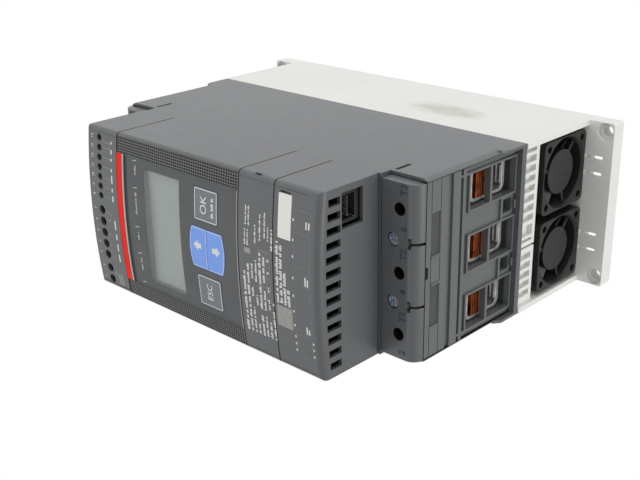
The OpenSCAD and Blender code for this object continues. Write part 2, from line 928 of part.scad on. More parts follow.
module bypass_relay(phase) {
    color([0.75, 0.72, 0.62])
    translate([phase_x(phase), 0, 0])
    difference() {
        brick(relay_w, bar_front, bar_front + relay_t, -relay_h / 2, relay_h / 2);
        brick(relay_w + 2 * cut, bar_front - cut, bar_front + relay_bridge, cut - bar_root, bar_root - cut);
    }
}

module current_transformer(phase) {
    color(black)
    translate([phase_x(phase), 0, 0])
    difference() {
        brick(ct_w, bar_rear - ct_wall, bar_front + ct_wall, ct_z - ct_h / 2, ct_z + ct_h / 2);
        brick(bar_w + 2 * cage_fit, bar_rear - cage_fit, bar_front + cage_fit,
            ct_z - ct_h / 2 - cut, ct_z + ct_h / 2 + cut);
    }
}

module power_board() {
    color(board_green)
    along_depth(power_board_rear, power_board_rear + board_t)
        rounded_rect(unit_w - 2 * (shell_wall + board_margin), power_board_h, board_r);
}

// Control section

// Front outline in width and depth, inset from the outer skin
module front_profile(inset, start) {
    r = front_r - inset;
    hw = half_w - inset;
    e = max(edge_r - inset, min_r);
    ec = front_axis + sqrt((r - e) * (r - e) - (hw - e) * (hw - e));
    intersection() {
        translate([e - hw, -front_apex]) square([2 * (hw - e), front_apex - start]);
        translate([0, -front_axis]) circle(r, $fn = 360);
    }
    translate([-hw, -ec]) square([2 * hw, ec - start]);
    for (s = [-1, 1])
        translate([s * (hw - e), -ec]) circle(e);
}

// Thin layer of the front's curve, from below the skin to above it
module front_layer(below, above) {
    difference() {
        translate([0, -front_axis]) circle(front_r + above, $fn = 360);
        translate([0, -front_axis]) circle(front_r - below, $fn = 360);
    }
}

// Part of that layer with width w about x and height from z0 to z1
module front_patch(w, z0, z1, below, above, x = 0) {
    intersection() {
        along_height(z0, z1) front_layer(below, above);
        brick(w, control_front - front_rise, front_apex + front_rise, z0 - cut, z1 + cut, x);
    }
}

// One moulding of the front, as an open channel
module front_channel(z0, z1) {
    difference() {
        along_height(z0, z1) front_profile(0, power_front + seam);
        along_height(z0 - cut, z1 + cut) front_profile(shell_wall, power_front - cut);
    }
}

// Moulding at the lower end of the front, closed and rounded there
module front_end(z0, z1, r) {
    difference() {
        intersection() {
            along_height(z0, z1) front_profile(0, power_front + seam);
            translate([0, -front_axis, 0]) rotate_extrude($fn = 360) nose_outline(z0, z1, r);
        }
        along_height(z0 + shell_wall, z1 + cut) front_profile(shell_wall, power_front - cut);
    }
}

// Radial section of an end moulding with its outer edge rounded
module nose_outline(z0, z1, r) {
    inner = front_r - control_d - 2 * front_rise;
    translate([inner, z0]) square([front_r - r - inner, z1 - z0]);
    translate([inner, z0 + r]) square([front_r - inner, z1 - z0 - r]);
    translate([front_r - r, z0 + r]) circle(r);
}

module terminal_strip_cover() {
    color(dark)
    difference() {
        mirror([0, 0, 1]) front_end(-control_high, -strip_low - seam, top_r);
        for (t = terms) {
            rod(t.x, term_z, t.y, term_block_front, front_apex + cut);
            translate([t.x, -wire_depth, control_high - shell_wall - cut])
                cylinder(r = wire_hole_r, h = shell_wall + 2 * cut);
        }
    }
}

module hmi_panel() {
    field_low = hmi_low + field_margin;
    field_high = strip_low - accent_band;
    color(dark)
    difference() {
        union() {
            front_channel(hmi_low + seam, strip_low);
            intersection() {
                display_collar();
                along_height(hmi_low + seam, strip_low) front_profile(min_r, power_front);
            }
        }
        front_patch(field_w, field_low, field_high, field_recess, cut);
        for (s = [-1, 1])
            front_patch(band_w, hmi_low + band_margin, strip_low - accent_gap, band_sunk, cut, s * band_x);
        front_patch(accent_w + 2 * window_fit, strip_low - accent_h - accent_gap - window_fit,
            strip_low - accent_gap + window_fit, accent_sunk, cut);
        along_depth(keypad_front, front_apex + cut)
            translate([0, display_z]) square([display_w, display_h], center = true);
        along_depth(keypad_front, front_apex + cut) {
            side_key(1, key_clear);
            side_key(-1, key_clear);
            pad_half(1, key_clear, key_split);
            pad_half(-1, key_clear, key_split);
        }
        for (x = led_xs)
            brick(led_w + 2 * led_fit, keypad_front, front_apex + cut,
                led_z - led_h / 2 - led_fit, led_z + led_h / 2 + led_fit, x);
    }
}

// Wall around the display opening, down to the display
module display_collar() {
    along_depth(lcd_front, front_apex)
        translate([0, display_z])
            square([display_w + 2 * collar, display_h + 2 * collar], center = true);
}

// Outline of the select key on the right or the exit key on the left
module side_key(side, grow) {
    translate([side * key_pitch, key_z])
        rounded_rect(key_w + 2 * grow, key_h + 2 * grow, key_r + grow);
}

// Upper or lower half of the arrow pad, with a bowed end
module pad_half(side, grow, inner) {
    translate([0, key_z])
        scale([1, side])
            intersection() {
                translate([-pad_w / 2 - grow, key_split / 2 - inner])
                    square([pad_w + 2 * grow, pad_h]);
                translate([0, pad_h / 2 + pad_bulge - pad_arc_r]) circle(pad_arc_r + grow);
            }
}

module label_panel() {
    color(dark)
    difference() {
        front_channel(label_low + seam, hmi_low);
        for (s = [-1, 1])
            brick(2 * release_t, control_front - release_setback - release_w, control_front - release_setback,
                hmi_low - release_z - release_l, hmi_low - release_z, s * half_w);
    }
}

module lower_front_cover() {
    color(dark)
    difference() {
        front_end(control_low, label_low, nose_r);
        for (i = [0:vent_n - 1])
            vent_slot((i - (vent_n - 1) / 2) * vent_pitch);
        brick(bus_w, bus_rear, bus_rear + bus_d, control_low - cut, control_low + shell_wall + cut, bus_x);
        front_patch(marker_w + 2 * window_fit, marker_z - marker_h / 2 - window_fit,
            marker_z + marker_h / 2 + window_fit, marker_sunk, cut, marker_x);
        front_patch(grip_w, marker_z - grip_h / 2, marker_z + grip_h / 2, grip_sunk, cut,
            marker_x + marker_w / 2);
    }
}

// One vent in the lower end, its front following the front's curve
module vent_slot(x) {
    vent_front = front_axis + sqrt(front_r * front_r - x * x) - vent_setback;
    brick(vent_w, vent_rear, vent_front, control_low - cut, control_low + shell_wall + cut, x);
}

module accent_strip() {
    color([0.86, 0.16, 0.14])
    front_patch(accent_w, strip_low - accent_h - accent_gap, strip_low - accent_gap,
        accent_sunk, accent_proud);
}

// Clear cover that follows the curve of the field around it
module display_window() {
    color([0.75, 0.80, 0.78, 0.4])
    front_patch(display_w - 2 * window_fit, display_z - display_h / 2 + window_fit,
        display_z + display_h / 2 - window_fit, field_recess + window_t, -field_recess);
}

module lcd_module() {
    color([0.60, 0.64, 0.60])
    brick(display_w - 2 * window_fit, keypad_front, lcd_front,
        display_z - display_h / 2 + window_fit, display_z + display_h / 2 - window_fit);
}

// Board behind the operator panel with one switch under each key
module keypad_board() {
    w = unit_w - 2 * shell_wall - 2 * seam;
    high = key_back - key_travel - switch_gap;
    arrow_z = pad_h / 4;
    color(board_green) {
        brick(w, keypad_rear, keypad_front, hmi_low + board_margin, strip_low - board_margin);
        for (s = [-1, 1]) {
            brick(switch_w, keypad_rear, high, key_z - switch_w / 2, key_z + switch_w / 2, s * key_pitch);
            brick(switch_w, keypad_rear, high, key_z + s * arrow_z - switch_w / 2,
                key_z + s * arrow_z + switch_w / 2);
        }
    }
}

// Key cap with a curved top and a retaining lip; the outlines are drawn as the children
module key_cap() {
    intersection() {
        along_depth(key_back, front_apex + cut) children(0);
        along_height(hmi_low, strip_low)
            translate([0, -front_axis]) circle(front_r - field_recess + key_proud, $fn = 360);
    }
    along_depth(key_lip_front - key_lip_t, key_lip_front) children(1);
}

module key_select() {
    color(key_grey)
    key_cap() {
        side_key(1, 0);
        side_key(1, key_lip);
    }
}

module key_exit() {
    color(key_grey)
    key_cap() {
        side_key(-1, 0);
        side_key(-1, key_lip);
    }
}

module key_arrow(side) {
    color(pad_blue)
    key_cap() {
        pad_half(side, 0, 0);
        pad_half(side, key_lip, 0);
    }
}

module marker_plate() {
    color("white")
    front_patch(marker_w, marker_z - marker_h / 2, marker_z + marker_h / 2, marker_sunk, marker_proud,
        marker_x);
}

module led_light_pipes() {
    color([0.9, 0.9, 0.88, 0.6])
    for (x = led_xs)
        intersection() {
            brick(led_w, keypad_front, front_apex, led_z - led_h / 2, led_z + led_h / 2, x);
            along_height(hmi_low, strip_low)
                translate([0, -front_axis]) circle(front_r - field_recess, $fn = 360);
        }
}

module control_board() {
    color(board_green)
    along_depth(control_board_rear, control_board_front)
        rounded_rect(unit_w - 2 * (shell_wall + seam), control_board_h, board_r);
}

// Screw terminals with a screw well in front and a wire entry above
module control_terminal_block() {
    color(black)
    difference() {
        brick(term_block_w, control_board_front, term_block_front, term_block_low, term_block_high);
        for (t = terms) {
            rod(t.x, term_z, t.y - term_lip, term_floor, term_block_front + cut);
            translate([t.x, -wire_depth, term_z - wire_reach])
                cylinder(r = wire_hole_r, h = term_block_high);
        }
    }
}

module control_terminal_screws() {
    color(zinc)
    for (t = terms)
        difference() {
            rod(t.x, term_z, t.y - term_lip - term_screw_fit, term_floor, term_floor + term_screw_t);
            brick(3 * t.y, term_floor + term_screw_t - term_slot_t, term_floor + term_screw_t + cut,
                term_z - term_slot_w / 2, term_z + term_slot_w / 2, t.x);
        }
}

// Connector behind the opening in the lower end, with one row of pins
module fieldbus_socket() {
    z0 = control_low + shell_wall + socket_gap;
    w = bus_w - 2 * socket_fit;
    d0 = bus_rear + socket_fit;
    d1 = bus_rear + bus_d - socket_fit;
    pin_pitch = (w - 2 * pin_margin) / pin_n;
    color(black)
    difference() {
        brick(w, control_board_front, d1, z0, z0 + socket_back + socket_floor, bus_x);
        brick(w - 2 * socket_wall, d0 + socket_wall, d1 - socket_wall, z0 - cut, z0 + socket_back, bus_x);
    }
    color(zinc)
    for (i = [0:pin_n - 1])
        translate([bus_x + (i - (pin_n - 1) / 2) * pin_pitch, -(d0 + d1) / 2, z0 + socket_back - pin_l])
            cylinder(r = pin_r, h = pin_l + cut);
}

// Every piece in its place

base_housing();
heat_sink();
fan_frame(-1);  // fan_frame_left
fan_frame(1);  // fan_frame_right
fan_rotor(-1);  // fan_rotor_left
fan_rotor(1);  // fan_rotor_right
main_housing();
terminal_cover("line");  // terminal_cover_line
terminal_cover("load");  // terminal_cover_load
terminal_shroud("line");  // terminal_shroud_line
terminal_shroud("load");  // terminal_shroud_load
cover_screws();
clamp_cage("line", 1);  // clamp_cage_l1
clamp_cage("line", 2);  // clamp_cage_l2
clamp_cage("line", 3);  // clamp_cage_l3
clamp_cage("load", 1);  // clamp_cage_t1
clamp_cage("load", 2);  // clamp_cage_t2
clamp_cage("load", 3);  // clamp_cage_t3
clamp_screw("line", 1);  // clamp_screw_l1
clamp_screw("line", 2);  // clamp_screw_l2
clamp_screw("line", 3);  // clamp_screw_l3
clamp_screw("load", 1);  // clamp_screw_t1
clamp_screw("load", 2);  // clamp_screw_t2
clamp_screw("load", 3);  // clamp_screw_t3
busbar("line", 1);  // busbar_l1
busbar("line", 2);  // busbar_l2
busbar("line", 3);  // busbar_l3
busbar("load", 1);  // busbar_t1
busbar("load", 2);  // busbar_t2
busbar("load", 3);  // busbar_t3
thyristor_module(1);  // thyristor_module_1
thyristor_module(2);  // thyristor_module_2
thyristor_module(3);  // thyristor_module_3
bypass_relay(1);  // bypass_relay_1
bypass_relay(2);  // bypass_relay_2
bypass_relay(3);  // bypass_relay_3
current_transformer(1);  // current_transformer_1
current_transformer(2);  // current_transformer_2
current_transformer(3);  // current_transformer_3
power_board();
control_board();
control_terminal_block();
control_terminal_screws();
fieldbus_socket();
terminal_strip_cover();
hmi_panel();
label_panel();
lower_front_cover();
accent_strip();
display_window();
lcd_module();
keypad_board();
key_select();
key_arrow(1);  // key_up
key_arrow(-1);  // key_down
key_exit();
marker_plate();
led_light_pipes();
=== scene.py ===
import json
import random
from math import radians, sqrt

import bmesh
import bpy
from mathutils import Matrix, Quaternion, Vector

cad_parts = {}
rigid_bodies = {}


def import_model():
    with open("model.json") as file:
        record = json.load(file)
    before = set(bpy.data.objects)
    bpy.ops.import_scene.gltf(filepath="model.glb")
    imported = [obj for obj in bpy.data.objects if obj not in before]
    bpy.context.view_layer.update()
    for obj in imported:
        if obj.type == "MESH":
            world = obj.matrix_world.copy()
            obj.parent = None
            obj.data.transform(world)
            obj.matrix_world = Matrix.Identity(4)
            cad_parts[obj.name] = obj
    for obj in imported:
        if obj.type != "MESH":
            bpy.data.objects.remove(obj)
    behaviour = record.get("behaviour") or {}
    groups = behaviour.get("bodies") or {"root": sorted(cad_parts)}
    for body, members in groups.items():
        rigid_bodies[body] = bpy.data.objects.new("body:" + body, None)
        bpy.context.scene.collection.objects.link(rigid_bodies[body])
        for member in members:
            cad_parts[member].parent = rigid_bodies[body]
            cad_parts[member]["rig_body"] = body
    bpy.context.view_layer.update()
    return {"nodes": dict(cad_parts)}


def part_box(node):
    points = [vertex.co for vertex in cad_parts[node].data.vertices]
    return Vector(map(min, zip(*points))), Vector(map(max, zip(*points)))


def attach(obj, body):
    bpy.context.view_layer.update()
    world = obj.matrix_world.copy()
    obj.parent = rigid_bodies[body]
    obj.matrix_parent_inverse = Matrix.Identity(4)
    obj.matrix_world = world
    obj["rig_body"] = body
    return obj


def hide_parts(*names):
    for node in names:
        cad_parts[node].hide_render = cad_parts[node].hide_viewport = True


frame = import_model()
scene = bpy.context.scene
nodes = frame["nodes"]
mm = 0.001
weld = 0.001  # points closer than this, in mm, are one
print("frame loaded:", len(nodes), "nodes")


# Camera, at the place the photograph was taken from

cameraSet = dict(
    place=(0.18689, -0.47581, -0.36402),
    aim=(-0.04376, -0.06160, 0.03551),
    roll=radians(-71.2736),
    lens=57.996,
    sensor=36,
    clip=0.02,
)


def makeCamera():
    data = bpy.data.cameras.new("camera")
    data.lens = cameraSet["lens"]
    data.sensor_width = cameraSet["sensor"]
    data.clip_start = cameraSet["clip"]
    camera = bpy.data.objects.new("camera", data)
    scene.collection.objects.link(camera)
    place = Vector(cameraSet["place"])
    look = (Vector(cameraSet["aim"]) - place).to_track_quat("-Z", "Y")
    camera.rotation_mode = "QUATERNION"
    camera.location = place
    camera.rotation_quaternion = look @ Quaternion((0, 0, 1), cameraSet["roll"])
    scene.camera = camera


# Colours are written as they look on a screen, 0 to 255

def tone(red, green, blue):
    def linear(c):
        c = c / 255
        return c / 12.92 if c <= 0.04045 else ((c + 0.055) / 1.055) ** 2.4
    return (linear(red), linear(green), linear(blue), 1)


def shaded(colour, share):
    return tuple(min(c * share, 1) for c in colour[:3]) + (1,)


# Studio: pale floor far below, soft lamps, white background

lampSet = dict(
    side=dict(place=(1.1, -0.15, 0.1), size=1.3, watts=7.2),
    front=dict(place=(0.0, -1.2, 0.6), size=1.4, watts=2.5),
    under=dict(place=(0.0, 0.0, -0.77), size=0.5, watts=2.2),
)
worldSet = dict(fill=0.55, white=1, colour=(1, 1, 1, 1))
floorSet = dict(drop=0.8, size=6, look=dict(colour=tone(236, 236, 235), drift=0, gloss=0.9))


def makeLamp(name, spec):
    data = bpy.data.lights.new(name, "AREA")
    data.size = spec["size"]
    data.energy = spec["watts"]
    lamp = bpy.data.objects.new(name, data)
    scene.collection.objects.link(lamp)
    lamp.location = spec["place"]
    lamp.rotation_mode = "QUATERNION"
    lamp.rotation_quaternion = (-Vector(spec["place"])).to_track_quat("-Z", "Y")


def addBackground(tree, strength):
    light = tree.nodes.new("ShaderNodeBackground")
    light.inputs["Color"].default_value = worldSet["colour"]
    light.inputs["Strength"].default_value = strength
    return light.outputs[0]


# The fill lights the object; what is seen directly or mirrored is white
def makeWorld():
    world = bpy.data.worlds.new("studio")
    world.use_nodes = True
    scene.world = world
    tree = world.node_tree
    tree.nodes.clear()
    out = tree.nodes.new("ShaderNodeOutputWorld")
    path = tree.nodes.new("ShaderNodeLightPath")
    seen = addMath(tree, "ADD", path.outputs["Is Camera Ray"], path.outputs["Is Glossy Ray"])
    seen = addMath(tree, "ADD", seen, path.outputs["Is Transmission Ray"])
    seen.node.use_clamp = True
    both = tree.nodes.new("ShaderNodeMixShader")
    tree.links.new(seen, both.inputs["Fac"])
    tree.links.new(addBackground(tree, worldSet["fill"]), both.inputs[1])
    tree.links.new(addBackground(tree, worldSet["white"]), both.inputs[2])
    tree.links.new(both.outputs[0], out.inputs["Surface"])


def addMath(tree, kind, first, second):
    step = tree.nodes.new("ShaderNodeMath")
    step.operation = kind
    tree.links.new(first, step.inputs[0])
    tree.links.new(second, step.inputs[1])
    return step.outputs[0]


def makeFloor():
    bm = bmesh.new()
    place = Matrix.Translation((0, 0, -floorSet["drop"]))
    bmesh.ops.create_grid(bm, x_segments=1, y_segments=1, size=floorSet["size"], matrix=place)
    data = bpy.data.meshes.new("floor")
    bm.to_mesh(data)
    bm.free()
    floor = bpy.data.objects.new("floor", data)
    scene.collection.objects.link(floor)
    floor.data.materials.append(moulded("paleFloor", floorSet["look"]))


# Finishes

noiseSpan = (0.3, 0.7)  # where most of a noise's values lie


def startFinish(name):
    made = bpy.data.materials.new(name)
    made.use_nodes = True
    tree = made.node_tree
    shader = tree.nodes["Principled BSDF"]
    where = tree.nodes.new("ShaderNodeTexCoord").outputs["Object"]
    return made, tree, shader, where


def addNoise(tree, where, size, detail=2):
    noise = tree.nodes.new("ShaderNodeTexNoise")
    noise.inputs["Scale"].default_value = 1 / size
    noise.inputs["Detail"].default_value = detail
    tree.links.new(where, noise.inputs["Vector"])
    return noise.outputs["Fac"]


def addRamp(tree, fac, low, high):
    ramp = tree.nodes.new("ShaderNodeValToRGB")
    for mark, place, colour in zip(ramp.color_ramp.elements, noiseSpan, (low, high)):
        mark.position = place
        mark.color = colour
    tree.links.new(fac, ramp.inputs["Fac"])
    return ramp.outputs["Color"]


def addSpread(tree, fac, low, high, span=noiseSpan):
    spread = tree.nodes.new("ShaderNodeMapRange")
    spread.inputs["From Min"].default_value = span[0]
    spread.inputs["From Max"].default_value = span[1]
    spread.inputs["To Min"].default_value = low
    spread.inputs["To Max"].default_value = high
    tree.links.new(fac, spread.inputs["Value"])
    return spread.outputs["Result"]


def addBump(tree, shader, height, depth):
    bump = tree.nodes.new("ShaderNodeBump")
    bump.inputs["Distance"].default_value = depth
    bump.inputs["Strength"].default_value = 1
    tree.links.new(height, bump.inputs["Height"])
    tree.links.new(bump.outputs["Normal"], shader.inputs["Normal"])


# Spark-eroded moulding: fine grain, cloudy shade, uneven gloss
mouldSet = dict(drift=0.05, cloud=40 * mm, gloss=0.5, uneven=0.05, patch=9 * mm, grain=0.35 * mm,
                relief=0.012 * mm, shine=0.5)


def moulded(name, look):
    look = dict(mouldSet, **look)
    made, tree, shader, where = startFinish(name)
    cloud = addNoise(tree, where, look["cloud"], detail=3)
    low = shaded(look["colour"], 1 - look["drift"])
    high = shaded(look["colour"], 1 + look["drift"])
    tree.links.new(addRamp(tree, cloud, low, high), shader.inputs["Base Color"])
    patch = addNoise(tree, where, look["patch"])
    rough = addSpread(tree, patch, look["gloss"] - look["uneven"], look["gloss"] + look["uneven"])
    tree.links.new(rough, shader.inputs["Roughness"])
    addBump(tree, shader, addNoise(tree, where, look["grain"]), look["relief"])
    shader.inputs["Specular IOR Level"].default_value = look["shine"]
    return made


# Pale base with a faint brown smear on its right side
smearSet = dict(centre=(45 * mm, -41 * mm, -41 * mm), reach=(6 * mm, 15 * mm, 33 * mm),
                colour=tone(176, 175, 160), patch=7 * mm, span=(0.08, 0.34), most=0.6)


def paleBase(name, look):
    made = moulded(name, look)
    tree = made.node_tree
    shader = tree.nodes["Principled BSDF"]
    clean = shader.inputs["Base Color"].links[0].from_socket
    where = tree.nodes["Texture Coordinate"].outputs["Object"]
    shift = tree.nodes.new("ShaderNodeMapping")
    shift.vector_type = "TEXTURE"
    shift.inputs["Location"].default_value = smearSet["centre"]
    shift.inputs["Scale"].default_value = smearSet["reach"]
    tree.links.new(where, shift.inputs["Vector"])
    ball = tree.nodes.new("ShaderNodeTexGradient")
    ball.gradient_type = "SPHERICAL"
    tree.links.new(shift.outputs["Vector"], ball.inputs["Vector"])
    patch = addNoise(tree, where, smearSet["patch"], detail=5)
    ragged = addMath(tree, "MULTIPLY", ball.outputs["Fac"], patch)
    mix = tree.nodes.new("ShaderNodeMix")
    mix.data_type = "RGBA"
    amount = addSpread(tree, ragged, 0, smearSet["most"], smearSet["span"])
    tree.links.new(amount, mix.inputs["Factor"])
    tree.links.new(clean, mix.inputs["A"])
    mix.inputs["B"].default_value = smearSet["colour"]
    tree.links.new(mix.outputs["Result"], shader.inputs["Base Color"])
    return made


# Bare or plated metal with fine rubbed marks and dull patches
metalSet = dict(metal=1, cloud=5 * mm, rub=0.8 * mm, brighter=0.1, duller=0.12, relief=0.01 * mm)


def metalFinish(name, look):
    look = dict(metalSet, **look)
    made, tree, shader, where = startFinish(name)
    shader.inputs["Metallic"].default_value = look["metal"]
    cloud = addNoise(tree, where, look["cloud"], detail=4)
    tree.links.new(addRamp(tree, cloud, look["dull"], look["bright"]), shader.inputs["Base Color"])
    rub = addNoise(tree, where, look["rub"], detail=3)
    rough = addSpread(tree, rub, look["gloss"] - look["brighter"], look["gloss"] + look["duller"])
    tree.links.new(rough, shader.inputs["Roughness"])
    addBump(tree, shader, rub, look["relief"])
    return made


# Thin clear cover with a faintly frosted face
def clearFinish(name, look):
    made, tree, shader, where = startFinish(name)
    shader.inputs["Base Color"].default_value = look["colour"]
    shader.inputs["Alpha"].default_value = look["veil"]
    frost = addNoise(tree, where, look["frost"])
    rough = addSpread(tree, frost, look["gloss"], look["gloss"] + look["uneven"])
    tree.links.new(rough, shader.inputs["Roughness"])
    return made


# Circuit board: solder mask with faint copper runs below it
def boardFinish(name, look):
    made, tree, shader, where = startFinish(name)
    runs = tree.nodes.new("ShaderNodeTexBrick")
    runs.inputs["Scale"].default_value = look["runs"]
    runs.inputs["Color1"].default_value = look["mask"]
    runs.inputs["Color2"].default_value = shaded(look["mask"], look["darker"])
    runs.inputs["Mortar"].default_value = shaded(look["mask"], look["lighter"])
    runs.inputs["Mortar Size"].default_value = look["line"]
    turn = tree.nodes.new("ShaderNodeMapping")
    turn.inputs["Rotation"].default_value = (radians(90), 0, 0)
    tree.links.new(where, turn.inputs["Vector"])
    tree.links.new(turn.outputs["Vector"], runs.inputs["Vector"])
    tree.links.new(runs.outputs["Color"], shader.inputs["Base Color"])
    patch = addNoise(tree, where, look["patch"])
    tree.links.new(addSpread(tree, patch, *look["gloss"]), shader.inputs["Roughness"])
    return made


evenGrey = dict(drift=0.02, cloud=60 * mm, uneven=0.015)
inkLook = dict(gloss=0.6, cloud=2 * mm)
finishes = dict(
    pale=paleBase("palePlastic", dict(colour=tone(224, 225, 221), drift=0.02, gloss=0.48, relief=0.008 * mm)),
    dark=moulded("darkPlastic", dict(colour=tone(91, 93, 95), gloss=0.36, **evenGrey)),
    shroud=moulded("shroudPlastic", dict(colour=tone(98, 101, 101), gloss=0.38, **evenGrey)),
    inlay=moulded("inlayTexture", dict(colour=tone(70, 72, 71), drift=0.06, gloss=0.7, grain=0.8 * mm,
                                       relief=0.05 * mm)),
    shade=moulded("accentShade", dict(colour=tone(44, 48, 48), gloss=0.6)),
    overlay=moulded("overlayFilm", dict(colour=tone(75, 78, 81), grain=0.5 * mm, relief=0.02 * mm)),
    black=moulded("blackPlastic", dict(colour=tone(36, 35, 35), drift=0.1, gloss=0.42)),
    # Near-black painted shade for dimple pits, seam and gap bars and the screwdriver holes
    pit=moulded("paintedShade", dict(colour=tone(20, 21, 22), gloss=0.8, shine=0.2)),
    relay=moulded("relayPlastic", dict(colour=tone(196, 190, 168))),
    red=moulded("redStrip", dict(colour=tone(250, 44, 36), drift=0.03, gloss=0.55, shine=0.15,
                                 relief=0.004 * mm)),
    greyKey=moulded("greyKey", dict(colour=tone(112, 119, 124), drift=0.03, gloss=0.45, relief=0.006 * mm)),
    blueKey=moulded("blueKey", dict(colour=tone(120, 166, 250), drift=0.03, gloss=0.4, relief=0.006 * mm)),
    white=moulded("whitePlastic", dict(colour=tone(246, 245, 241), drift=0.02, gloss=0.45,
                                       relief=0.004 * mm)),
    ink=moulded("whiteInk", dict(colour=tone(236, 237, 237), **inkLook)),
    greyInk=moulded("greyInk", dict(colour=tone(190, 190, 186), drift=0.08, **inkLook)),
    faintInk=moulded("faintInk", dict(colour=tone(162, 163, 158), drift=0.1, **inkLook)),
    diagramInk=moulded("diagramInk", dict(colour=tone(134, 136, 136), drift=0.1, **inkLook)),
    lightPipe=moulded("lightPipe", dict(colour=tone(92, 95, 98), gloss=0.35)),
    screw=metalFinish("brightScrew", dict(dull=tone(120, 146, 170), bright=tone(240, 246, 250), gloss=0.28,
                                          metal=0.9, cloud=1.4 * mm)),
    zinc=metalFinish("zincPlate", dict(dull=tone(160, 163, 164), bright=tone(226, 227, 226), gloss=0.36,
                                       metal=0.75)),
    aluminium=metalFinish("castAluminium", dict(dull=tone(172, 174, 176), bright=tone(204, 206, 207),
                                                gloss=0.45)),
    copper=metalFinish("copperBar", dict(dull=tone(120, 58, 36), bright=tone(196, 112, 70), gloss=0.34)),
    board=boardFinish("solderMask", dict(mask=tone(28, 92, 58), runs=90, line=0.04, darker=0.8, lighter=1.6,
                                         patch=3 * mm, gloss=(0.3, 0.42))),
    lcd=moulded("lcdGlass", dict(colour=tone(163, 171, 166), drift=0.02, gloss=0.4, relief=0)),
    window=clearFinish("clearWindow", dict(colour=tone(214, 222, 219), gloss=0.1, uneven=0.05, veil=0.16,
                                           frost=2 * mm)),
    # Darker than the covers: painted shade for the raised marks
    moulding=moulded("markPaintedShade", dict(colour=tone(60, 61, 63))),
)
print("finishes made:", len(finishes))


# Finish of every solid: the first start that fits its name

dressSet = dict(
    base_housing="pale", heat_sink="aluminium", fan_="black", main_housing="dark",
    terminal_shroud_="shroud", terminal_="dark", cover_screws="screw", clamp_="zinc", busbar_="copper",
    thyristor_="black", bypass_="relay", current_="black", power_board="board", control_board="board",
    control_terminal_block="black", control_terminal_screws="zinc", fieldbus_="black", hmi_panel="dark",
    label_panel="dark", lower_front_cover="dark", accent_strip="red", display_window="window",
    lcd_module="lcd", keypad_board="board", key_select="greyKey", key_exit="greyKey", key_up="blueKey",
    key_down="blueKey", marker_plate="white", led_="lightPipe",
)


def dressNodes():
    for nodeName, node in nodes.items():
        finishName = next(dressSet[start] for start in dressSet if nodeName.startswith(start))
        node.data.materials.clear()
        node.data.materials.append(finishes[finishName])


makeCamera()
makeWorld()
makeFloor()
for lampName, lampSpec in lampSet.items():
    makeLamp(lampName, lampSpec)
scene.view_settings.view_transform = "Standard"
dressNodes()
print("studio and solids ready")


# Mesh helpers

def addPiece(name, bm, finishNames, body):
    data = bpy.data.meshes.new(name)
    bm.to_mesh(data)
    bm.free()
    piece = bpy.data.objects.new(name, data)
    scene.collection.objects.link(piece)
    for finishName in finishNames:
        data.materials.append(finishes[finishName])
    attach(piece, body)
    return piece


def slicePlane(bm, spot, out, **rest):
    everything = bm.verts[:] + bm.edges[:] + bm.faces[:]
    bmesh.ops.bisect_plane(bm, geom=everything, plane_co=spot, plane_no=out, **rest)


# Flat faces become solids of the given height; gives back their tops
def raiseFaces(bm, height):
    raised = bmesh.ops.extrude_face_region(bm, geom=bm.faces[:])["geom"]
    topVerts = [g for g in raised if isinstance(g, bmesh.types.BMVert)]
    bmesh.ops.translate(bm, verts=topVerts, vec=(0, 0, height))
    bmesh.ops.recalc_face_normals(bm, faces=bm.faces)
    return [g for g in raised if isinstance(g, bmesh.types.BMFace)]


# Shells: copies of the visible solids with their sharp edges broken, as a mould leaves them
# Each has its finishes, its slot and the width of its edges in mm

shellSet = (
    ("base_housing", ["pale"], "pale_plastic", 0.12),
    ("main_housing", ["dark"], "dark_plastic", 0.14),
    ("terminal_cover_line", ["dark", "pit"], "dark_plastic", 0.3),
    ("terminal_cover_load", ["dark", "pit"], "dark_plastic", 0.3),
    ("terminal_shroud_line", ["shroud", "inlay"], "dark_plastic", 0.1),
    ("terminal_shroud_load", ["shroud", "inlay"], "dark_plastic", 0.1),
    ("terminal_strip_cover", ["dark"], "dark_plastic", 0.25),
    ("hmi_panel", ["dark", "overlay"], "dark_plastic", 0.12),
    ("label_panel", ["dark"], "dark_plastic", 0.2),
    ("lower_front_cover", ["dark"], "dark_plastic", 0.2),
    ("fan_frame_left", ["black"], "black_plastic", 0.3),
    ("fan_frame_right", ["black"], "black_plastic", 0.3),
    ("fan_rotor_left", ["black"], "black_plastic", 0.1),
    ("fan_rotor_right", ["black"], "black_plastic", 0.1),
    ("cover_screws", ["screw"], "zinc_steel", 0.12),
    ("control_terminal_screws", ["zinc"], "zinc_steel", 0.1),
    ("control_terminal_block", ["black"], "black_plastic", 0.15),
    ("fieldbus_socket", ["black", "ink"], "black_plastic", 0.1),
    ("accent_strip", ["red", "white"], "red_plastic", 0.12),
    ("marker_plate", ["white"], "white_plastic", 0.1),
    ("key_select", ["greyKey"], "grey_key", 0.3),
    ("key_exit", ["greyKey"], "grey_key", 0.3),
    ("key_up", ["blueKey"], "blue_key", 0.15),
    ("key_down", ["blueKey"], "blue_key", 0.15),
)
clampSet = (
    ("clamp_cage_", ["zinc"], "zinc_steel", 0.3),
    ("clamp_screw_", ["zinc"], "zinc_steel", 0.2),
    ("busbar_", ["copper"], "copper", 0.1),
)
edgeSet = dict(segments=2, sharp=radians(40), flat=radians(0.5), smooth=radians(32))
thinSet = dict(base_housing=((41.9, -66.5, -105.6), (42.1, -50, -105.4)))  # walls too thin for it, in mm


def inBox(edge, box):
    low, high = box
    return all(low[i] < vert.co[i] / mm < high[i] for vert in edge.verts for i in range(3))


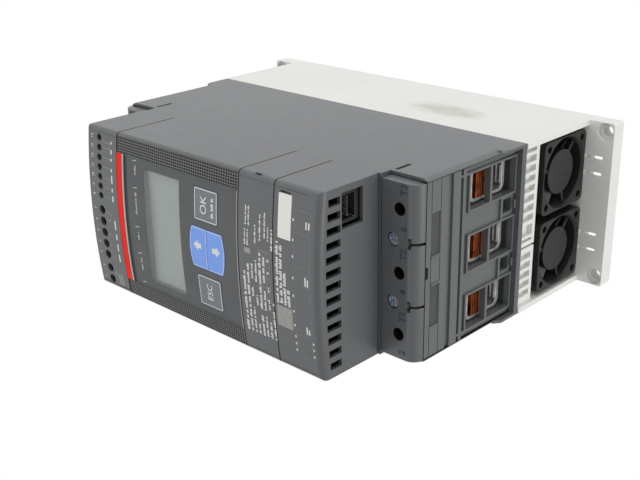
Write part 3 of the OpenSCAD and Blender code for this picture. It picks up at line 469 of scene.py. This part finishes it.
def softenEdges(bm, width, thin):
    bmesh.ops.remove_doubles(bm, verts=bm.verts, dist=weld * mm)
    bmesh.ops.dissolve_limit(bm, angle_limit=edgeSet["flat"], verts=bm.verts, edges=bm.edges)
    sharp = [e for e in bm.edges if e.is_manifold and e.calc_face_angle() > edgeSet["sharp"]]
    if thin:
        sharp = [e for e in sharp if not inBox(e, thin)]
    bmesh.ops.bevel(bm, geom=sharp, offset=width, offset_type="OFFSET", segments=edgeSet["segments"],
                    profile=0.5, affect="EDGES", clamp_overlap=False, material=-1)
    bmesh.ops.dissolve_degenerate(bm, dist=weld * mm, edges=bm.edges)


def smoothShade(piece):
    piece.data.shade_smooth()
    piece.data.set_sharp_from_angle(angle=edgeSet["smooth"])
    weigh = piece.modifiers.new("weightedNormal", "WEIGHTED_NORMAL")
    weigh.keep_sharp = True


def softCopy(nodeName, finishNames, width):
    bm = bmesh.new()
    bm.from_mesh(nodes[nodeName].data)
    for face in bm.faces:
        face.material_index = 0
    softenEdges(bm, width * mm, thinSet.get(nodeName))
    piece = addPiece(nodeName + "_shell", bm, finishNames, nodes[nodeName]["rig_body"])
    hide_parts(nodeName)
    smoothShade(piece)
    return piece


shells = {}
for nodeName, finishNames, slot, width in shellSet:
    shells[nodeName] = softCopy(nodeName, finishNames, width)
for start, finishNames, slot, width in clampSet:
    for nodeName in sorted(n for n in nodes if n.startswith(start)):
        shells[nodeName] = softCopy(nodeName, finishNames, width)
print("shells made:", len(shells))


# Curved front: drawings in mm, x right, y up, z outwards, are bent onto its cylinder

frontSet = dict(radius=339, axis=153, step=6, reach=42, fieldSink=0.5, keySink=0.3)


def bendFront(bm, sink):
    for vert in bm.verts:
        x, up, out = vert.co
        reach = frontSet["radius"] - sink + out
        vert.co = Vector((x, frontSet["axis"] - sqrt(reach ** 2 - x ** 2), up)) * mm


# Cut into narrow strips first, so that a wide bar follows the curve
def wrapFront(bm, sink):
    for x in range(-frontSet["reach"], frontSet["reach"] + 1, frontSet["step"]):
        slicePlane(bm, (x, 0, 0), (1, 0, 0), dist=weld)
    bmesh.ops.dissolve_degenerate(bm, dist=weld, edges=bm.edges)
    bendFront(bm, sink)


# Second finishes on parts of the shells, found by place, in mm

fieldSet = dict(half=35.1, near=0.08)
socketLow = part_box("fieldbus_socket")[0].z / mm
pinHighlightSet = dict(slim=0.8, low=socketLow + 4, high=socketLow + 11)
toolSet = dict(pitch=30.6, high=94.7, radius=3.1, front=-145.2, near=0.1)
inlaySet = dict(x=17.7, wide=20.4, front=-135.5, back=-128.8, floor=103.7, near=0.1)
accentSet = dict(down=-0.6)


# The overlay film fills the panel's sunk field
def onField(face):
    x, y, z = face.center / mm
    above = sqrt(x ** 2 + (y - frontSet["axis"]) ** 2) - frontSet["radius"] + frontSet["fieldSink"]
    return abs(above) < fieldSet["near"] and abs(x) < fieldSet["half"]


# The connector's pins are painted white: painted highlight in place of the bare metal's shine
def pinHighlight(face):
    spec = pinHighlightSet
    data = shells["fieldbus_socket"].data
    spots = [data.vertices[i].co / mm for i in face.vertices]
    span = max(p.x for p in spots) - min(p.x for p in spots)
    deep = max(p.y for p in spots) - min(p.y for p in spots)
    slim = span < spec["slim"] and deep < spec["slim"]
    return slim and spec["low"] < face.center.z / mm < spec["high"]


# The screwdriver holes' walls are near-black a little way in: painted shade of the deep holes
def inToolHole(face):
    spec = toolSet
    x, y, z = face.center / mm
    across = x - spec["pitch"] * round(x / spec["pitch"])
    away = sqrt(across ** 2 + (abs(z) - spec["high"]) ** 2)
    return y > spec["front"] and away < spec["radius"] + spec["near"]


# Two sunk inlays in each shroud are rougher and darker
def onInlay(face):
    spec = inlaySet
    x, y, z = face.center / mm
    inside = abs(abs(x) - spec["x"]) < spec["wide"] / 2 and spec["front"] < y < spec["back"]
    return inside and abs(abs(z) - spec["floor"]) < spec["near"]


# The accent strip's lower wall is painted white: painted highlight of the lit wall
def accentWallHighlight(face):
    return face.normal.z < accentSet["down"]


def paintFaces(nodeName, chosen):
    for face in shells[nodeName].data.polygons:
        if chosen(face):
            face.material_index = 1


paintFaces("hmi_panel", onField)
paintFaces("fieldbus_socket", pinHighlight)
paintFaces("accent_strip", accentWallHighlight)
for end in ("line", "load"):
    paintFaces("terminal_cover_" + end, inToolHole)
    paintFaces("terminal_shroud_" + end, onInlay)
print("shells painted")


# Near-black lines of painted shade in the seams where two front mouldings meet, cut from the label panel's
# own outline

seamShadeSet = dict(cutZ=-36.0, weld=0.01, grow=1.0005, growFrom=146,
                seams=dict(strip=(59.6, 60.2), label=(-32.2, -31.6), cover=(-55.15, -54.55)))


def seamShadeLine(name, low, high):
    spec = seamShadeSet
    bm = bmesh.new()
    bm.from_mesh(nodes["label_panel"].data)
    bmesh.ops.remove_doubles(bm, verts=bm.verts, dist=weld * mm)
    slicePlane(bm, (0, 0, spec["cutZ"] * mm), (0, 0, 1), clear_inner=True, clear_outer=True)
    bmesh.ops.remove_doubles(bm, verts=bm.verts, dist=spec["weld"] * mm)
    bmesh.ops.contextual_create(bm, geom=bm.edges[:])
    middle = Matrix.Translation((0, spec["growFrom"] * mm, 0))
    bmesh.ops.scale(bm, vec=(spec["grow"], spec["grow"], 1), space=middle, verts=bm.verts)
    bmesh.ops.translate(bm, verts=bm.verts, vec=(0, 0, (low - spec["cutZ"]) * mm))
    raiseFaces(bm, (high - low) * mm)
    addPiece(name, bm, ["pit"], "starter")


for seam, (low, high) in seamShadeSet["seams"].items():
    seamShadeLine("seam_shade_" + seam, low, high)


# Plain bars: skins that close the side joint, and near-black bars of painted shadow in the gaps behind the
# terminal covers

skinSet = dict(x=44.77, wide=0.5, low=-82.3, high=84.7, front=-146.75, back=-145.55)
gapShadeSet = dict(inner=43.08, outer=43.42, front=-140.2, split=-139.7, back=-69.9, low=101.2, high=105.02,
              sideHigh=104.7)


def addBlock(bm, x0, x1, y0, y1, z0, z1):
    place = Matrix.Translation(Vector((x0 + x1, y0 + y1, z0 + z1)) * mm / 2)
    place = place @ Matrix.Diagonal((abs(x1 - x0) * mm, abs(y1 - y0) * mm, abs(z1 - z0) * mm, 1))
    bmesh.ops.create_cube(bm, size=1, matrix=place)


def sideSkins():
    spec = skinSet
    bm = bmesh.new()
    for side in (-1, 1):
        x0 = side * spec["x"] - spec["wide"] / 2
        x1 = side * spec["x"] + spec["wide"] / 2
        addBlock(bm, x0, x1, spec["front"], spec["back"], spec["low"], spec["high"])
    addPiece("side_joint_skins", bm, ["dark"], "starter")


# Near-black bars in the cover gaps: painted shadow
def gapShadeBars():
    spec = gapShadeSet
    bm = bmesh.new()
    for side in (-1, 1):
        low = side * spec["low"]
        addBlock(bm, -spec["inner"], spec["inner"], spec["front"], spec["split"], low, side * spec["high"])
        for edge in (-1, 1):
            addBlock(bm, edge * spec["inner"], edge * spec["outer"], spec["split"], spec["back"],
                     low, side * spec["sideHigh"])
    addPiece("cover_gap_shade", bm, ["pit"], "starter")


sideSkins()
gapShadeBars()
print("seams lined")


# Pin tips that reach forward in the connector

pinSet = dict(x=33.4, y=-163.5, pitch=0.96, count=10, radius=0.2, sides=10, tip=0.5, root=6.2)


def connectorPins():
    spec = pinSet
    middle = socketLow + (spec["tip"] + spec["root"]) / 2
    radius = spec["radius"] * mm
    bm = bmesh.new()
    for count in range(spec["count"]):
        x = spec["x"] + (count - (spec["count"] - 1) / 2) * spec["pitch"]
        place = Matrix.Translation(Vector((x, spec["y"], middle)) * mm)
        bmesh.ops.create_cone(bm, cap_ends=True, segments=spec["sides"], radius1=radius, radius2=radius,
                              depth=(spec["root"] - spec["tip"]) * mm, matrix=place)
    addPiece("connector_pins", bm, ["zinc"], "starter")


connectorPins()
print("pins made")


# Dimpled bands beside the field

bandSet = dict(x=39.3, width=8.4, low=-30.9, high=59.5, rows=6, columns=55, top=0.08, thick=0.24,
               rim=0.38, wall=0.09, pit=0.16)


def dimpleBand(name, side):
    spec = bandSet
    bm = bmesh.new()
    height = spec["high"] - spec["low"]
    place = Matrix.Translation((side * spec["x"], spec["low"] + height / 2, 0))
    place = place @ Matrix.Diagonal((spec["width"] / 2, height / 2, 1, 1))
    bmesh.ops.create_grid(bm, x_segments=spec["rows"], y_segments=spec["columns"], size=1, matrix=place)
    tops = raiseFaces(bm, spec["thick"])
    bmesh.ops.inset_individual(bm, faces=tops, thickness=spec["rim"], depth=0)
    sunk = bmesh.ops.inset_individual(bm, faces=tops, thickness=spec["wall"], depth=-spec["pit"])["faces"]
    # Pit floors and walls take the near-black finish: painted shade that deepens the shallow pits
    for face in tops + sunk:
        face.material_index = 1
    bendFront(bm, spec["top"] + spec["thick"])
    addPiece(name, bm, ["dark", "pit"], "starter")


dimpleBand("dimple_band_left", -1)
dimpleBand("dimple_band_right", 1)
print("dimpled bands made")


# Prints: thin ink solids, drawn flat and wrapped

inkSet = dict(thick=0.04, bed=0.01, curve=3)
wordSet = dict(pitch=0.52, fill=0.76, heights=(0.7, 0.7, 1), shortest=2)  # shares of a line's height


def addBar(bm, x0, x1, y0, y1, lean=0):
    thick = inkSet["thick"] + inkSet["bed"]
    place = Matrix.Translation(((x0 + x1) / 2, (y0 + y1) / 2, thick / 2 - inkSet["bed"]))
    place = place @ Matrix.Rotation(lean, 4, "Z") @ Matrix.Diagonal((abs(x1 - x0), abs(y1 - y0), thick, 1))
    bmesh.ops.create_cube(bm, size=1, matrix=place)


def addDash(bm, x0, x1, y, tall):
    addBar(bm, x0, x1, y - tall / 2, y + tall / 2)


def addUpright(bm, x, wide, y0, y1, lean=0):
    addBar(bm, x - wide / 2, x + wide / 2, y0, y1, lean)


def addText(bm, words, x, y, size, thick=inkSet["thick"] + inkSet["bed"]):
    curve = bpy.data.curves.new("print", "FONT")
    curve.body = words
    curve.size = size
    curve.align_x = "CENTER"
    curve.align_y = "CENTER"
    curve.extrude = thick / 2
    curve.resolution_u = inkSet["curve"]
    holder = bpy.data.objects.new("print", curve)
    scene.collection.objects.link(holder)
    bpy.context.view_layer.update()
    data = bpy.data.meshes.new_from_object(holder.evaluated_get(bpy.context.evaluated_depsgraph_get()))
    data.transform(Matrix.Translation((x, y, thick / 2 - inkSet["bed"])))
    letters = bmesh.new()
    letters.from_mesh(data)
    bmesh.ops.remove_doubles(letters, verts=letters.verts, dist=weld)
    bmesh.ops.dissolve_degenerate(letters, dist=weld, edges=letters.edges)
    bpy.data.objects.remove(holder)
    bpy.data.curves.remove(curve)
    bpy.data.meshes.remove(data)
    joinInto(bm, letters)


def joinInto(bm, other):
    data = bpy.data.meshes.new("joined")
    other.to_mesh(data)
    other.free()
    bm.from_mesh(data)
    bpy.data.meshes.remove(data)


def addFrame(bm, x0, x1, y0, y1, line):
    addBar(bm, x0, x1, y0, y0 + line)
    addBar(bm, x0, x1, y1 - line, y1)
    addBar(bm, x0, x0 + line, y0 + line, y1 - line)
    addBar(bm, x1 - line, x1, y0 + line, y1 - line)


# A line of print too small to read: letter-sized blocks set in words
def addWords(bm, draw, x0, x1, y, tall, longest=9):
    pitch = wordSet["pitch"] * tall
    low = y - tall / 2
    x = x0
    while x < x1 - pitch:
        for letter in range(draw.randint(wordSet["shortest"], longest)):
            if x < x1 - pitch:
                addBar(bm, x, x + wordSet["fill"] * pitch, low, low + tall * draw.choice(wordSet["heights"]))
            x += pitch
        x += pitch


def addPrint(name, bm, finishName, body="starter", sink=0):
    wrapFront(bm, sink)
    addPiece(name, bm, [finishName], body)


# Control terminals: numbers, leader lines and short words

stripSet = dict(
    numberY=81.0, numberSize=2.4,
    numberX=(-39.9, -33.2, -25.2, -18.75, -12.3, -5.85, 0.6, 8.6, 13.8, 19.0, 24.2, 29.4, 34.6, 39.8),
    longLines=(38.0, 35.2, 30.0, 24.7, 19.0, 14.0, 8.5), longSpan=(66.0, 72.2),
    shortLines=(0.0, -4.2, -12.4, -18.8, -25.6), shortSpan=(68.0, 72.6),
    links=((35.2, 38.0, 66.0), (14.0, 19.0, 67.4), (8.5, 11.4, 68.2), (-4.2, 0.0, 68.0)),
    words=((38.0, 39.3), (32.7, 35.1), (29.1, 30.5), (23.4, 25.1), (17.1, 21.5), (12.6, 14.6), (7.3, 10.4),
           (-8.5, -3.3), (-14.0, -10.8), (-20.6, -16.6), (-26.9, -22.6)),
    wordY=64.7, wordTall=1.0, line=0.22,
    block=((-36.0, -34.2, 70.2), (-41.5, -35.0, 68.2), (-42.0, -34.6, 66.7), (-41.4, -34.8, 65.2)),
    blockTall=0.8,
)


def printStrip():
    spec = stripSet
    bm = bmesh.new()
    for count, x in enumerate(spec["numberX"]):
        addText(bm, str(count + 1), x, spec["numberY"], spec["numberSize"])
    for x0, x1 in spec["words"]:
        addDash(bm, x0, x1, spec["wordY"], spec["wordTall"])
    addPrint("strip_numbers", bm, "ink")
    bm = bmesh.new()
    for x in spec["longLines"]:
        addUpright(bm, x, spec["line"], *spec["longSpan"])
    for x in spec["shortLines"]:
        addUpright(bm, x, spec["line"], *spec["shortSpan"])
    for x0, x1, y in spec["links"]:
        addDash(bm, x0, x1, y, spec["line"])
    for x0, x1, y in spec["block"]:
        addDash(bm, x0, x1, y, spec["blockTall"])
    addPrint("strip_leaders", bm, "faintInk")


# Panel: the lamps' legend, the accent strip's painted edge highlight and painted shade, and a painted
# highlight line below the field

fieldPrintSet = dict(
    ticks=(33.3, 19.2, -1.8, -16.4, -33.1), tickSpan=(44.2, 47.4), tickLine=0.5, tickLean=radians(14),
    words=((26.0, 31.6), (5.2, 17.4), (-8.8, -4.0), (-26.2, -18.4)), wordY=45.5, wordTall=1.4, seed=11,
    rimY=(-31.45, -30.95), rimX=34.8, edgeY=(54.72, 55.05), shadeY=(52.4, 54.1), accentX=34.9,
    accentProud=-0.3,
)


def printField():
    spec = fieldPrintSet
    bm = bmesh.new()
    for x in spec["ticks"]:
        addUpright(bm, x, spec["tickLine"], *spec["tickSpan"], spec["tickLean"])
    draw = random.Random(spec["seed"])
    for x0, x1 in spec["words"]:
        addWords(bm, draw, x0, x1, spec["wordY"], spec["wordTall"])
    addPrint("lamp_legend", bm, "greyInk", sink=frontSet["fieldSink"])
    # A near-black bar on the field beside the accent strip: painted shade where the field sinks below the
    # strip
    bm = bmesh.new()
    addBar(bm, -spec["accentX"], spec["accentX"], *spec["shadeY"])
    wrapFront(bm, frontSet["fieldSink"])
    addPiece("accent_shade", bm, ["shade"], "starter")
    # A white bar along the accent strip's lower edge: painted highlight of its lit edge
    bm = bmesh.new()
    addBar(bm, -spec["accentX"], spec["accentX"], *spec["edgeY"])
    addPrint("accent_edge_highlight", bm, "ink", sink=spec["accentProud"])
    # A pale line along the field's lower rim: painted highlight of the lit rim
    bm = bmesh.new()
    addBar(bm, -spec["rimX"], spec["rimX"], *spec["rimY"])
    addPrint("panel_rim_highlight", bm, "faintInk")


# Label panel: rows as height and spans, notes as span, place and height

labelSet = dict(
    top=-35.4, pitch=2.65, seed=5,
    rows=(
        (1.7, ((-33.2, -2.0),)),
        (1.6, ((-33.0, 2.5),)),
        (1.3, ((-33.0, -19.0), (-14.0, -9.0), (-5.0, 3.0))),
        (1.3, ((-33.0, -27.0), (-18.0, -12.0), (-6.0, 5.0))),
        (1.6, ((-33.2, -21.0), (-19.0, 9.5))),
        (1.3, ((-33.0, -22.0), (-19.0, -8.0), (-5.0, 8.0))),
        (1.3, ((-33.0, -24.0), (-18.0, -12.0), (-9.0, -6.0), (0.0, 2.0), (6.0, 8.0))),
        (1.3, ((-33.0, -18.0), (-15.0, -13.0), (12.0, 22.8))),
    ),
    notes=((10.8, 18.8, -36.4, 1.0), (10.8, 18.8, -38.2, 1.0), (20.5, 30.0, -37.0, 1.0),
           (20.5, 30.0, -39.0, 1.0), (13.0, 22.0, -43.2, 1.0), (15.0, 28.0, -46.4, 1.0),
           (17.0, 29.0, -49.4, 1.0), (16.0, 22.8, -51.6, 0.8)),
    noteLongest=6,
    tableLines=(-45.5, -48.1, -50.4, -52.8), tableX=(-13.7, 10.4), tableStops=(-13.7, -7.2, -2.4, 3.4, 10.4),
    stamp=(7.0, 9.4, -40.2, -36.0), line=0.16,
)


def printLabel():
    spec = labelSet
    draw = random.Random(spec["seed"])
    bm = bmesh.new()
    for count, (tall, spans) in enumerate(spec["rows"]):
        for x0, x1 in spans:
            addWords(bm, draw, x0, x1, spec["top"] - count * spec["pitch"], tall)
    for x0, x1, y, tall in spec["notes"]:
        addWords(bm, draw, x0, x1, y, tall, spec["noteLongest"])
    addPrint("label_words", bm, "ink")
    bm = bmesh.new()
    for y in spec["tableLines"]:
        addDash(bm, *spec["tableX"], y, spec["line"])
    for x in spec["tableStops"]:
        addUpright(bm, x, spec["line"], spec["tableLines"][-1], spec["tableLines"][0])
    addBar(bm, *spec["stamp"])
    addPrint("label_table", bm, "faintInk")


# Lower cover: rows of words, a plain field and the terminals' diagram

coverSet = dict(
    seed=8, tall=1.8,
    rows=((-12.0, 18.0, -57.2), (-11.6, 17.0, -59.6), (-12.0, 5.7, -62.0), (-12.3, -3.2, -64.4)),
    field=(-23.6, -13.2, -66.2, -56.4),
    box=(-35.8, 35.0, -77.8, -68.0), stops=(24.6, 9.2, 0.4, -24.2, -29.2), line=0.2,
    dots=(30.0, 20.9, 13.2, 3.0, -5.6, -13.3, -20.3, -26.0, -29.7, -33.0),
    dotY=-67.4, dotWide=1.1, dotTall=0.8,
    notes=((27.4, 30.6, -75.2), (27.4, 30.6, -76.8), (1.0, 5.2, -75.0), (1.0, 4.4, -76.4),
           (-22.6, -19.0, -75.0), (-22.6, -20.0, -76.4), (-27.0, -26.0, -78.4), (-30.2, -29.2, -78.4),
           (-33.6, -32.6, -78.4)),
    noteTall=0.8,
    switches=((29.8, -73.0), (16.8, -73.0), (4.8, -73.0), (-27.0, -72.6), (-32.6, -72.6)),
    switchLong=5.0, switchThin=0.2, switchLean=radians(24),
)


def printCover():
    spec = coverSet
    draw = random.Random(spec["seed"])
    bm = bmesh.new()
    for x0, x1, y in spec["rows"]:
        addWords(bm, draw, x0, x1, y, spec["tall"])
    for x in spec["dots"]:
        addDash(bm, x - spec["dotWide"] / 2, x + spec["dotWide"] / 2, spec["dotY"], spec["dotTall"])
    for x0, x1, y in spec["notes"]:
        addDash(bm, x0, x1, y, spec["noteTall"])
    addPrint("cover_words", bm, "ink")
    bm = bmesh.new()
    addBar(bm, *spec["field"])
    addPrint("cover_field", bm, "faintInk")
    bm = bmesh.new()
    addFrame(bm, *spec["box"], spec["line"])
    for x in spec["stops"]:
        addUpright(bm, x, spec["line"], *spec["box"][2:])
    half = spec["switchThin"] / 2
    for x, y in spec["switches"]:
        addUpright(bm, x, spec["switchLong"], y - half, y + half, spec["switchLean"])
    addPrint("cover_diagram", bm, "diagramInk")


# Keys: light borders, words and arrows, each riding on its key

keySet = dict(
    pitch=22.4, middle=-9.0, wide=16.2, tall=16.6, corner=0.8, cornerSteps=3, inset=0.3, line=0.42,
    words=dict(select=("OK", 6.4, 1.4), exit=("ESC", 5.4, 0)),
    lineX=5.0, lineY=-4.6, lineTall=1.7, lineLongest=5, seed=3,
)
arrowSet = dict(
    wide=20.8, tall=21.4, bulge=1.9, sides=160, line=0.294, below=1, split=0.25,
    x=1.0, y=7.0, sink=0.4, headWide=5.4, headTall=3.0, stemWide=2.6, stemTall=2.6,
    dividerWide=18.6, divider=0.32,
)


# Keeps only the border of a flat face
def inkRing(bm, line):
    bmesh.ops.inset_region(bm, faces=bm.faces[:], thickness=line, use_boundary=True, use_even_offset=True)
    inner = max(bm.faces, key=lambda f: f.calc_area())
    bmesh.ops.delete(bm, geom=[inner], context="FACES_ONLY")


def thickenInk(bm):
    bmesh.ops.translate(bm, verts=bm.verts, vec=(0, 0, -inkSet["bed"]))
    raiseFaces(bm, inkSet["thick"] + inkSet["bed"])


def printSideKey(key, side):
    spec = keySet
    bm = bmesh.new()
    x = side * spec["pitch"]
    y = spec["middle"]
    size = Matrix.Diagonal((spec["wide"] / 2 - spec["inset"], spec["tall"] / 2 - spec["inset"], 1, 1))
    place = Matrix.Translation((x, y, 0)) @ size
    bmesh.ops.create_grid(bm, x_segments=1, y_segments=1, size=1, matrix=place)
    bmesh.ops.bevel(bm, geom=bm.verts[:], offset=spec["corner"], segments=spec["cornerSteps"], profile=0.5,
                    affect="VERTICES", material=-1)
    inkRing(bm, spec["line"])
    thickenInk(bm)
    word, letterSize, lift = spec["words"][key]
    addText(bm, word, x, y + lift, letterSize)
    if lift:  # room for a second line
        draw = random.Random(spec["seed"])
        addWords(bm, draw, x - spec["lineX"], x + spec["lineX"], y + spec["lineY"], spec["lineTall"],
                 spec["lineLongest"])
    addPrint(key + "_print", bm, "ink", key + "_key", frontSet["keySink"])


# A triangle on a short stem
def arrowInk():
    spec = arrowSet
    bm = bmesh.new()
    stem = Matrix.Translation((spec["x"], spec["y"] - spec["stemTall"] / 2 - spec["sink"], 0))
    stem = stem @ Matrix.Diagonal((spec["stemWide"], spec["stemTall"], 1, 1))
    bmesh.ops.create_grid(bm, x_segments=1, y_segments=1, size=0.5, matrix=stem)
    head = bmesh.ops.create_circle(bm, cap_ends=True, segments=3, radius=1)["verts"]
    for vert, (x, y) in zip(head, ((0, 1), (-0.5, 0), (0.5, 0))):
        vert.co = (spec["x"] + x * spec["headWide"], spec["y"] - spec["sink"] + y * spec["headTall"], 0)
    thickenInk(bm)
    return bm


# Drawn as the upper half of the pad; the lower key is its mirror image
def printArrowKey(key, side):
    spec = arrowSet
    bm = bmesh.new()
    arc = (spec["wide"] ** 2 / 4 + spec["bulge"] ** 2) / (2 * spec["bulge"])
    place = Matrix.Translation((0, spec["tall"] / 2 + spec["bulge"] - arc - keySet["inset"], 0))
    bmesh.ops.create_circle(bm, cap_ends=True, segments=spec["sides"], radius=arc, matrix=place)
    wide = spec["wide"] / 2 - keySet["inset"]
    for spot, out in (((wide, 0, 0), (1, 0, 0)), ((-wide, 0, 0), (-1, 0, 0)),
                      ((0, -spec["below"], 0), (0, -1, 0))):
        slicePlane(bm, spot, out, clear_outer=True)
    inkRing(bm, spec["line"])
    slicePlane(bm, (0, spec["split"], 0), (0, -1, 0), clear_outer=True)
    thickenInk(bm)
    if side > 0:
        half = spec["dividerWide"] / 2
        addBar(bm, -half, half, spec["split"], spec["split"] + spec["divider"])
    joinInto(bm, arrowInk())
    turn = Matrix.Translation((0, keySet["middle"], 0)) @ Matrix.Diagonal((1, side, 1, 1))
    bmesh.ops.transform(bm, matrix=turn, verts=bm.verts)
    bmesh.ops.recalc_face_normals(bm, faces=bm.faces)
    addPrint(key + "_print", bm, "ink", key + "_key", frontSet["keySink"])


printStrip()
printField()
printLabel()
printCover()
printSideKey("select", 1)
printSideKey("exit", -1)
printArrowKey("up", 1)
printArrowKey("down", -1)
print("prints made")


# Raised marks beside the screwdriver holes, darker than the cover: painted shade of moulded letters

markSet = dict(pitch=30.6, left=-8.7, right=9.5, high=97.4, front=146, size=5.2, proud=0.22)


def raisedMarks(name, side, numbers, letter):
    spec = markSet
    bm = bmesh.new()
    y = side * spec["high"]
    for count, number in enumerate(numbers):
        x = (count - 1) * spec["pitch"]
        addText(bm, number, x + spec["left"], y, spec["size"], spec["proud"])
        addText(bm, letter + str(count + 1), x + spec["right"], y, spec["size"], spec["proud"])
    for vert in bm.verts:
        x, up, out = vert.co
        vert.co = Vector((x, -spec["front"] - out, up)) * mm
    addPiece(name, bm, ["moulding"], "starter")


raisedMarks("load_marks", -1, "246", "T")
raisedMarks("line_marks", 1, "135", "L")
print("marks made")
